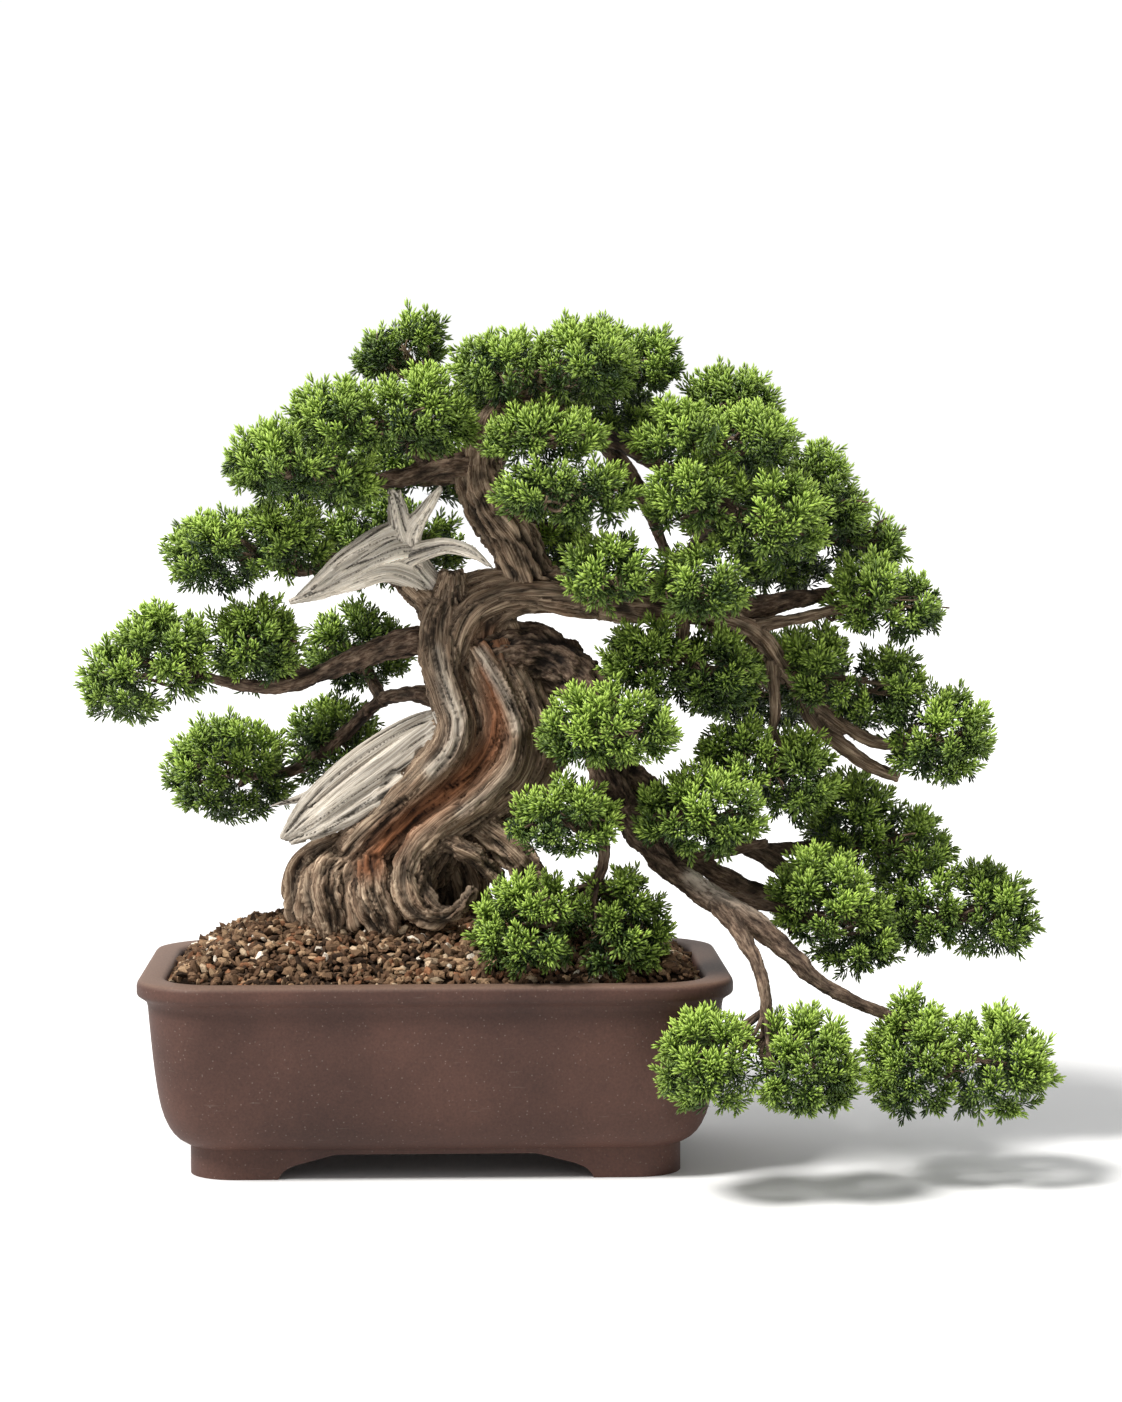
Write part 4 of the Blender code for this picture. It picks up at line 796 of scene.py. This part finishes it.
dead_wood = wood_material("bleached_deadwood", DEAD_DARK, DEAD_MID, DEAD_LIGHT, DEAD_MID, DEAD_LIGHT,
                          across=1150.0, along=24.0, bump=0.55)
for name, strands in (("deadwood_upper", UPPER_STRANDS), ("deadwood_lower", LOWER_STRANDS)):
    lines = [smooth_line(strand, 0.003) for strand in strands]
    blade = tubes(name, lines)
    squeezed = points_of(blade.data)
    centres = np.vstack(lines)[:, :3]
    nearest = np.linalg.norm(squeezed[:, None] - centres[None], axis=2).argmin(axis=1)
    squeezed[:, 1] = centres[nearest, 1] + BLADE_DEPTH * (squeezed[:, 1] - centres[nearest, 1])
    blade.data.vertices.foreach_set("co", squeezed.ravel())
    blade = grown_together(blade, VOXEL_BLADE)
    # painted shade over the whole lower blade, none on the upper one
    grey = np.full(len(blade.data.vertices), LOWER_BLADE_SHADE if name == "deadwood_lower" else 0.0)
    blade = dress_wood(blade, lines, dead_relief, f"{name}_wood", dark=grey, twist=2.0)
    blade.data.materials.append(dead_wood)
    settle(blade, "deadwood", name)

# ============================================================================ limbs and twigs
# Younger limbs in dark flaking bark, wired long ago into bends, forking again and again until the
# twigs enter the cushions of foliage from below.
LIMBS = {
    "limb_leader": [
        [(60, 0, 366, 17), (50, 4, 392, 17), (34, 6, 416, 15.5), (28, 4, 440, 13.5), (34, 0, 464, 10),
         (48, -2, 486, 7), (62, -6, 500, 5)],
        [(30, 2, 452, 6), (6, 22, 482, 4), (-14, 42, 508, 3)],
        [(42, 0, 478, 6), (80, 22, 490, 4), (112, 46, 502, 3)],
        [(38, -2, 472, 5), (52, -30, 466, 4), (62, -46, 460, 3)],
        [(36, 4, 412, 6), (58, -30, 420, 4.5), (74, -60, 422, 3)],
    ],
    "limb_left_high": [
        [(27, 3, 442, 9), (3, -4, 440, 7.5), (-22, -12, 433, 6), (-52, -22, 429, 5), (-70, -32, 433, 4),
         (-82, -40, 440, 3)],
        [(0, -4, 440, 5), (-20, -16, 456, 3.8), (-36, -26, 472, 3)],
    ],
    "limb_left_upper": [
        [(-10, 10, 362, 9), (-30, 28, 374, 7), (-57, 28, 381, 5.5), (-86, 12, 374, 4.5),
         (-112, -6, 384, 3)],
        [(-30, 26, 373, 5), (-33, 52, 380, 4), (-31, 74, 388, 3)],
    ],
    "limb_left_middle": [
        [(2, 0, 330, 11), (-20, -2, 328, 9), (-43, -4, 321, 7.5), (-73, -12, 309, 6), (-100, -22, 302, 5),
         (-134, -32, 306, 3.5), (-166, -38, 318, 2.5)],
        [(-78, -13, 308, 4), (-98, -14, 318, 3.5), (-110, -15, 330, 2.8)],
    ],
    "limb_left_low": [
        [(10, 4, 290, 8), (-12, 22, 294, 5.5), (-36, 46, 288, 4.5), (-64, 64, 262, 5), (-96, 72, 240, 4),
         (-124, 72, 240, 3)],
        [(-44, 52, 281, 4.5), (-58, 76, 268, 3.5), (-66, 88, 262, 2.8)],
        [(-34, 44, 289, 4.5), (-44, 72, 306, 3.8), (-49, 92, 324, 3)],
    ],
    "limb_crown_right": [
        [(44, -1, 480, 6.5), (83, -6, 472, 6), (108, -14, 460, 5.5), (132, -24, 446, 5),
         (164, -32, 428, 4.2), (200, -44, 408, 3)],
        [(126, -22, 450, 4.2), (152, -28, 458, 3.5), (172, -33, 463, 3)],
        [(120, -19, 453, 4.2), (152, 12, 466, 3.5), (182, 36, 480, 3)],
        [(100, -10, 464, 5), (114, 20, 450, 5.5), (128, 18, 432, 5), (139, 12, 410, 4.5), (149, 8, 384, 3.5)],
    ],
    "limb_right_middle": [
        [(66, 0, 364, 14.5), (86, -3, 361, 13), (108, -7, 356, 11.5), (134, -12, 352, 9.5),
         (168, -12, 348, 8), (203, -8, 335, 7), (227, -4, 305, 6), (252, 0, 282, 5), (282, -3, 264, 4),
         (312, -9, 262, 3)],
        [(196, -9, 338, 5), (232, -4, 344, 4), (276, 0, 354, 3)],
        [(226, -4, 306, 4.5), (244, 4, 303, 3.6), (260, 9, 306, 3)],
        [(230, -4, 300, 5), (243, 0, 277, 5), (258, 0, 264, 5), (278, 0, 250, 4.5), (298, 0, 241, 3.5)],
        [(215, -6, 320, 4.5), (216, -18, 284, 3.6), (211, -24, 262, 3)],
        [(158, -12, 350, 5), (156, -26, 332, 3.8), (154, -30, 320, 3)],
        [(146, -12, 351, 4.8), (158, -38, 356, 3.8), (163, -58, 364, 3)],
        [(112, -7, 356, 5.5), (107, -42, 362, 4), (104, -70, 371, 3)],
        [(170, -10, 347, 6), (188, 30, 330, 5), (206, 70, 308, 4), (224, 106, 294, 3)],
    ],
    "limb_right_upper": [
        [(128, -10, 353, 8.5), (150, 6, 372, 7), (182, 16, 396, 5.5), (216, 24, 412, 4.2),
         (240, 29, 426, 3)],
        [(206, 22, 408, 4), (240, 40, 398, 3.5), (270, 52, 396, 3)],
        [(160, 10, 380, 5), (176, 60, 396, 4), (192, 106, 414, 3)],
        [(146, -6, 352, 8), (184, 10, 348, 7), (211, 15, 351, 7), (236, 20, 356, 6), (260, 25, 359, 4)],
    ],
    "limb_cascade": [
        [(26, 0, 318, 21), (50, 4, 322, 20), (72, 2, 318, 18), (96, -6, 300, 16), (107, -18, 272, 14),
         (110, -32, 244, 11.5), (130, -52, 208, 9), (160, -77, 180, 7.5), (190, -95, 164, 7.5),
         (217, -106, 142, 6), (233, -111, 126, 5), (255, -113, 114, 4.2), (282, -110, 102, 3.6),
         (312, -106, 84, 3)],
        [(170, -83, 175, 6), (187, -113, 154, 5), (197, -138, 130, 4), (198, -150, 98, 3)],
        [(107, -22, 268, 7), (106, -50, 268, 5), (104, -78, 276, 3.5)],
        [(118, -42, 226, 6), (140, -62, 222, 4.5), (159, -76, 226, 3)],
        [(110, -34, 240, 6), (96, -70, 224, 4.5), (84, -92, 220, 3)],
        [(98, -64, 226, 4.5), (104, -78, 200, 3.8), (96, -78, 174, 3)],
        [(166, -80, 177, 5), (204, -72, 168, 4), (240, -62, 160, 3)],
    ],
    "limb_right_low": [
        [(108, -24, 256, 13), (128, -22, 240, 10.5), (152, -16, 224, 8.5), (180, -8, 208, 7),
         (210, -4, 192, 6), (238, 0, 172, 5), (270, 4, 150, 4), (304, 8, 144, 3.5), (334, 10, 152, 3)],
        [(206, -4, 194, 5), (244, 14, 196, 4), (282, 30, 200, 3)],
        [(114, -24, 250, 9), (125, -12, 233, 8), (149, -5, 203, 7.5), (175, 0, 183, 7), (201, 5, 170, 6),
         (229, 10, 161, 4)],
        [(149, -6, 204, 6), (163, -12, 193, 5), (186, -22, 197, 4), (210, -32, 203, 3)],
    ],
    "limb_back_high": [
        [(34, 6, 424, 9), (38, 40, 438, 6.5), (48, 84, 466, 4.5), (53, 116, 486, 3)],
        [(37, 36, 436, 5), (-10, 78, 432, 4), (-64, 112, 436, 3)],
        [(36, 26, 432, 5), (56, 74, 412, 4), (70, 108, 400, 3)],
    ],
}
VOXEL_LIMB = 0.00138
TRUNK_BARKED = ("limb_right_middle", "limb_leader")     # bare and in full view, with the trunk's old bark
STRIPPED_CASCADE = [(160, -78, 186), (181, -90, 172), (203, -96, 160)]
TWIGS_PER_PAD = 11
GOLDEN_ANGLE = 2.39996
LIMB_DARK = (0.014, 0.008, 0.0055)
LIMB_MID = (0.098, 0.062, 0.042)
LIMB_LIGHT = (0.330, 0.245, 0.175)
LIMB_RED = (0.120, 0.045, 0.020)


def limb_relief(grain, wide, points):
    """Bark in plates, knobs where shoots were cut, fine strips; shallower on thin wood."""
    plates = np.clip(streaks(grain, 230, 95, 3) * 2.2, -1, 1)
    knobs = streaks(grain * 0.5 + 2.0, 110, 60, 2)
    strips = streaks(grain, 420, 40, 2)
    depth = np.clip(wide / 0.009, 0.25, 1.7)
    return depth * (0.0012 * plates + 0.0014 * knobs + 0.0006 * strips)


def twig_line(*stations):
    """A line in the tables' millimetres, from places in the scene and the thickness at each."""
    return [(*((spot - np.array(MIDDLE)) * 1000), width) for spot, width in stations]


limb_wood = wood_material("limb_bark", LIMB_DARK, LIMB_MID, LIMB_LIGHT, LIMB_RED, BLEACHED,
                          across=620.0, along=150.0, bump=0.8)
pads = sorted(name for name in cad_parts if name.startswith("pad_"))
twigs_of = {name: [] for name in LIMBS}
for order, pad in enumerate(pads):
    random = np.random.default_rng(500 + order)
    low, high = (np.array(corner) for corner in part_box(pad))
    centre, half = (low + high) / 2, (high - low) / 2
    floor_height = low[2] + 0.42 * (high[2] - low[2])
    ends = [(np.linalg.norm(np.array(line[-1][:3]) * 0.001 + np.array(MIDDLE) - centre), name, line)
            for name, lines in LIMBS.items() for line in lines]
    _, limb, line = min(ends, key=lambda item: item[0])
    before, root = (np.array(station[:3]) * 0.001 + np.array(MIDDLE) for station in line[-2:])
    for number in range(TWIGS_PER_PAD):
        around = GOLDEN_ANGLE * number + random.uniform(-0.3, 0.3)
        out = random.uniform(0.45, 0.80)
        goal = np.array([centre[0] + math.cos(around) * out * half[0],
                         centre[1] + math.sin(around) * out * half[1],
                         floor_height + random.uniform(-0.10, 0.25) * half[2]])
        start = before + (root - before) * random.uniform(0.35, 1.0)
        knee = start * 0.5 + goal * 0.5 + random.normal(0, 0.004, 3) - [0, 0, 0.004]
        thick = random.uniform(1.1, 1.6)
        twigs_of[limb].append(twig_line((start, thick * 1.25), (knee, thick), (goal, thick * 0.55)))
        side = goal + (goal - knee) * random.uniform(0.02, 0.2) + random.normal(0, 0.004, 3)
        halfway = knee * 0.45 + side * 0.55 + [0, 0, 0.002]
        twigs_of[limb].append(twig_line((knee, thick * 0.8), (halfway, thick * 0.6), (side, thick * 0.45)))
for name, lines in LIMBS.items():
    limb_lines = [smooth_line(line, 0.004) for line in lines]
    wood = grown_together(tubes(f"{name}_skin", limb_lines), VOXEL_LIMB)
    spots = points_of(wood.data)
    pale = near_line(spots, STRIPPED_CASCADE, 0.010) if name == "limb_cascade" else None
    wood = dress_wood(wood, limb_lines, limb_relief, f"{name}_bark", pale=pale, twist=3.0)
    twig_lines = [smooth_line(twig, 0.006) for twig in twigs_of[name]]
    if twig_lines:
        twigs = dress_wood(tubes(f"{name}_twigs", twig_lines, 1), twig_lines,
                           lambda grain, wide, points: 0.00035 * streaks(grain, 500, 130, 2), f"{name}_twigs")
        bm = bmesh.new()
        bm.from_mesh(wood.data)
        bm.from_mesh(twigs.data)
        bm.to_mesh(wood.data)
        bm.free()
        bpy.data.objects.remove(twigs)
    wood.data.materials.clear()
    wood.data.materials.append(trunk_wood if name in TRUNK_BARKED else limb_wood)
    settle(wood, "bark", name)

# ============================================================================ foliage
# Each pad is a cushion of short juniper sprays. A spray is a thin green stem with blunt flattened
# needles set round it, pale where it is this year's growth at the tip and dark further in; the pale tips
# show only where the painted light is strong, and downward-facing and deeper sprays are painted bluish and
# dark as shade.
NEEDLE_LENGTH = 0.0086
NEEDLE_WIDTH = 0.00150
SPRAY_LENGTH = 0.0175
NEEDLES_PER_SPRAY = 15
SPRAY_PATTERNS = 7
SPRAY_SPACING = 0.0080
CLUMP_SPACING = 0.021
CLUMP_RISE = 0.0065
CLEAR_OF_WOOD = 0.003
CLEAR_OF_PAD = 0.0026
DEEPER_SHARE = 0.70
SUNK = 0.0115                   # how far a spray's root lies inside the solid
NEEDLE_DARK = (0.012, 0.032, 0.008)
NEEDLE_MID = (0.135, 0.245, 0.028)
NEEDLE_BRIGHT = (0.390, 0.550, 0.090)
NEEDLE_BLUE = (0.080, 0.165, 0.045)

needles, needle_shader, node, ramp, mix, link = new_material("juniper_needles", 0.42)
painted = node("ShaderNodeAttribute", {"attribute_name": "leaf"})
leaf = node("ShaderNodeSeparateColor", Color=painted.outputs["Color"])
along, own, light = leaf.outputs[0], leaf.outputs[1], leaf.outputs[2]
lit = mix(light, NEEDLE_DARK, NEEDLE_MID)
# painted shade as well as tone: where own is low, partly at random and partly on downward-facing sprays and
# the deeper layer, the needles turn bluish here and darker below
blued = mix(ramp(own, [(0.20, 0.60), (0.50, 0.0)]), lit, mix(light, NEEDLE_DARK, NEEDLE_BLUE))
# the pale tips of new growth show only as far as the painted light reaches
share = node("ShaderNodeMath", {"operation": "MULTIPLY"}, _0=along, _1=light).outputs[0]
tipped = mix(ramp(share, [(0.15, 0.0), (0.85, 1.0)]), blued, NEEDLE_BRIGHT)
varied = mix(0.5, tipped, ramp(own, [(0.0, 0.60), (1.0, 1.35)]), "MULTIPLY")
link(varied, needle_shader.inputs["Base Color"])
needle_shader.inputs["Specular IOR Level"].default_value = 0.45


def spray_pattern(seed):
    """Points, triangles and place along the needle of one spray, standing on the origin along +Z."""
    random = np.random.default_rng(seed)
    bm = bmesh.new()
    tip = bm.verts.layers.float.new("tip")

    def blade(base, direction, length, width, start, stop):
        """A needle: a slim spindle, widest near its blunt tip."""
        made = bmesh.ops.create_cone(bm, cap_ends=True, segments=3, radius1=width * 0.18,
                                     radius2=width / 2, depth=length * 0.68)["verts"]
        low = [vert for vert in made if vert.co.z < 0]
        bmesh.ops.pointmerge(bm, verts=low, merge_co=Vector((0, 0, -length * 0.34)))
        made = [vert for vert in made if vert.is_valid]
        cap = next(face for face in {face for vert in made for face in vert.link_faces}
                   if all(vert.co.z > 0 for vert in face.verts))
        point = bmesh.ops.poke(bm, faces=[cap])["verts"]
        point[0].co = Vector((0, 0, length * 0.66))
        made += point
        turn = Vector(direction).to_track_quat("Z", "Y").to_matrix().to_4x4()
        whole = Matrix.Translation(Vector(base)) @ turn @ Matrix.Translation((0, 0, length * 0.34))
        for vert in made:
            far = stop if vert.co.z < length * 0.5 else min(1.0, stop + 0.1)
            vert[tip] = start if vert.co.z < 0 else far
        bmesh.ops.transform(bm, matrix=whole, verts=made)

    blade((0, 0, -0.004), (0.02, 0.02, 1), SPRAY_LENGTH, NEEDLE_WIDTH * 0.8, 0.0, 0.35)
    bend = random.uniform(-0.12, 0.12, 2)
    for number in range(NEEDLES_PER_SPRAY):
        share = number / (NEEDLES_PER_SPRAY - 1)
        around = GOLDEN_ANGLE * number + random.uniform(-0.35, 0.35)
        lean = math.radians(54 - 42 * share ** 1.5 + random.uniform(-7, 7))
        direction = (math.sin(lean) * math.cos(around) + bend[0] * share,
                     math.sin(lean) * math.sin(around) + bend[1] * share, math.cos(lean))
        length = NEEDLE_LENGTH * (1.0 - 0.26 * share) * random.uniform(0.85, 1.1)
        height = -0.0010 + (SPRAY_LENGTH - 0.0065) * share
        blade((0, 0, height), direction, length, NEEDLE_WIDTH, 0.08 + 0.40 * share, 0.55 + 0.45 * share)
    bmesh.ops.triangulate(bm, faces=bm.faces)
    bmesh.ops.recalc_face_normals(bm, faces=bm.faces)
    bm.verts.ensure_lookup_table()
    points = np.array([vert.co[:] for vert in bm.verts])
    tips = np.array([vert[tip] for vert in bm.verts])
    faces = np.array([[vert.index for vert in face.verts] for face in bm.faces])
    bm.free()
    return points, faces, tips


def frames_along(directions, spins):
    """Rotation matrices that carry +Z to each direction, turned by each spin."""
    z = directions / np.linalg.norm(directions, axis=1, keepdims=True)
    helper = np.where(np.abs(z[:, 2:3]) < 0.9, [[0.0, 0.0, 1.0]], [[1.0, 0.0, 0.0]])
    x = np.cross(helper, z)
    x /= np.linalg.norm(x, axis=1, keepdims=True)
    y = np.cross(z, x)
    c, s = np.cos(spins)[:, None], np.sin(spins)[:, None]
    return np.stack([x * c + y * s, y * c - x * s, z], axis=2)


def even_points(solid, spacing, random):
    """Evenly scattered places on a solid's surface, with the way each one faces."""
    solid.data.calc_loop_triangles()
    spots = points_of(solid.data) @ np.array(solid.matrix_world.to_3x3()).T
    spots = spots + np.array(solid.matrix_world.translation)
    corners = spots[np.array([triangle.vertices[:] for triangle in solid.data.loop_triangles])]
    cross = np.cross(corners[:, 1] - corners[:, 0], corners[:, 2] - corners[:, 0])
    area = np.linalg.norm(cross, axis=1) / 2
    tries = int(area.sum() / spacing ** 2 * 5)
    face = random.choice(len(area), tries, p=area / area.sum())
    a, b = np.sqrt(random.random(tries)), random.random(tries)
    places = (corners[face, 0] * (1 - a)[:, None] + corners[face, 1] * (a * (1 - b))[:, None]
              + corners[face, 2] * (a * b)[:, None])
    facing = cross[face] / (2 * area[face])[:, None]
    kept = []
    tree = {}
    cell = np.floor(places / spacing).astype(int)
    for index in range(tries):
        key = tuple(cell[index])
        near = [other for x in (-1, 0, 1) for y in (-1, 0, 1) for z in (-1, 0, 1)
                for other in tree.get((key[0] + x, key[1] + y, key[2] + z), ())]
        if near and (np.linalg.norm(places[near] - places[index], axis=1) < spacing * 0.86).any():
            continue
        tree.setdefault(key, []).append(index)
        kept.append(index)
    return places[kept], facing[kept]


def solid_tree(names):
    """A search tree of the faces of several solids."""
    bm = bmesh.new()
    for name in names:
        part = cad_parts[name].data.copy()
        part.transform(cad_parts[name].matrix_world)
        bm.from_mesh(part)
        bpy.data.meshes.remove(part)
    tree = BVHTree.FromBMesh(bm)
    bm.free()
    return tree


def scattered_mesh(name, patterns, choice, turns, sizes, places, colours, attribute):
    """One mesh of many copies of a few patterns, with a colour for every point."""
    points, faces, paint = [], [], []
    start = 0
    for number, (shape, triangles, tips) in enumerate(patterns):
        picked = np.flatnonzero(choice == number)
        if not len(picked):
            continue
        spots = np.einsum("nij,vj->nvi", turns[picked], shape) * sizes[picked, None, None]
        spots += places[picked][:, None, :]
        points.append(spots.reshape(-1, 3))
        offsets = start + np.arange(len(picked)) * len(shape)
        faces.append((triangles[None] + offsets[:, None, None]).reshape(-1, 3))
        count = (len(picked), len(shape))
        tipped = np.broadcast_to(tips[None, :, None], (*count, 1))
        coloured = np.broadcast_to(colours[picked][:, None, :], (*count, 2))
        paint.append(np.concatenate([tipped, coloured], axis=2).reshape(-1, 3))
        start += len(picked) * len(shape)
    points, faces, paint = np.concatenate(points), np.concatenate(faces), np.concatenate(paint)
    mesh = bpy.data.meshes.new(name)
    mesh.vertices.add(len(points))
    mesh.vertices.foreach_set("co", points.ravel())
    mesh.loops.add(faces.size)
    mesh.loops.foreach_set("vertex_index", faces.ravel().astype(np.int32))
    mesh.polygons.add(len(faces))
    mesh.polygons.foreach_set("loop_start", np.arange(0, faces.size, 3, dtype=np.int32))
    mesh.update(calc_edges=True)
    layer = mesh.attributes.new(attribute, "FLOAT_COLOR", "POINT")
    layer.data.foreach_set("color", np.concatenate([paint, np.ones((len(paint), 1))], axis=1).ravel())
    return mesh


patterns = [spray_pattern(seed) for seed in range(SPRAY_PATTERNS)]
wood_tree = solid_tree([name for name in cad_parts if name.startswith(("limb_", "trunk", "deadwood"))])
for order, name in enumerate(pads):
    random = np.random.default_rng(1000 + order)
    low, high = (np.array(corner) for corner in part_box(name))
    others = solid_tree([other for other in pads if other != name])
    clumps, _ = even_points(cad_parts[name], CLUMP_SPACING, random)
    places, facing = even_points(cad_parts[name], SPRAY_SPACING, random)
    # none where another pad or a limb already fills the place
    free = np.ones(len(places), bool)
    for index, (place, ahead) in enumerate(zip(places, facing)):
        if wood_tree.find_nearest(Vector(place), CLEAR_OF_WOOD)[0] is not None:
            free[index] = False
        elif others.find_nearest(Vector(place + ahead * 0.002), CLEAR_OF_PAD)[0] is not None:
            free[index] = random.random() < 0.12
    places, facing = places[free], facing[free]
    keep = random.random(len(places)) < np.clip(1.35 + facing[:, 2] * 1.1, 0.42, 1.0)
    places, facing = places[keep], facing[keep]
    gap = np.linalg.norm(places[:, None] - clumps[None], axis=2)
    nearest = gap.argmin(axis=1)
    aside = (places - clumps[nearest]) / CLUMP_SPACING
    crest = np.clip(1 - (gap.min(axis=1) / (0.62 * CLUMP_SPACING)) ** 2, 0, 1)
    # the pad's own lumps: clumps that stand proud, with dark gaps between them, where shade is also painted
    # in through the crest term of the light
    facing = facing + aside * 1.3 + [0, 0, 0.28] + random.normal(0, 0.16, facing.shape)
    facing /= np.linalg.norm(facing, axis=1, keepdims=True)
    proud = CLUMP_RISE * (crest - 0.75) * random.uniform(0.7, 1.25, len(clumps))[nearest]
    places = places + facing * (proud - SUNK + random.normal(0, 0.0014, len(places)))[:, None]
    # a second, deeper layer fills the cushion behind the first, painted darker as shade
    deeper = random.random(len(places)) < DEEPER_SHARE
    inner = places[deeper] - facing[deeper] * random.uniform(0.005, 0.011, (deeper.sum(), 1))
    inner_facing = facing[deeper] + random.normal(0, 0.80, (deeper.sum(), 3))
    inner_facing /= np.linalg.norm(inner_facing, axis=1, keepdims=True)
    rise = np.clip((places[:, 2] - low[2]) / (high[2] - low[2]), 0, 1)
    age = random.normal(0.0, 0.10, len(clumps))[nearest]
    light = 0.30 + 0.34 * rise + 0.24 * crest + 0.16 * facing[:, 2] + age
    light = light + random.normal(0, 0.09, len(places))
    light = np.concatenate([light, 0.42 * light[deeper]])
    # own tone: random by clump and spray, and partly painted shade, lower on downward-facing sprays and on
    # the deeper layer
    own = np.clip(0.42 + 0.25 * facing[:, 2] + 0.9 * age + random.normal(0, 0.2, len(places)), 0, 1)
    own = np.concatenate([own, own[deeper] * 0.7])
    behind = np.clip((low[1] + high[1]) / 2 - MIDDLE.y, -0.1, 0.12)
    light = np.clip(light * (1.08 - 1.6 * behind), 0.03, 1)
    places, facing = np.vstack([places, inner]), np.vstack([facing, inner_facing])
    sizes = random.uniform(0.84, 1.14, len(places))
    turns = frames_along(facing, random.uniform(0, math.tau, len(places)))
    choice = random.integers(0, SPRAY_PATTERNS, len(places))
    mesh = scattered_mesh(name.replace("pad", "foliage"), patterns, choice, turns, sizes, places,
                          np.stack([own, light], 1), "leaf")
    mesh.materials.append(needles)
    piece = bpy.data.objects.new(mesh.name, mesh)
    scene.collection.objects.link(piece)
    settle(piece, "foliage", name)
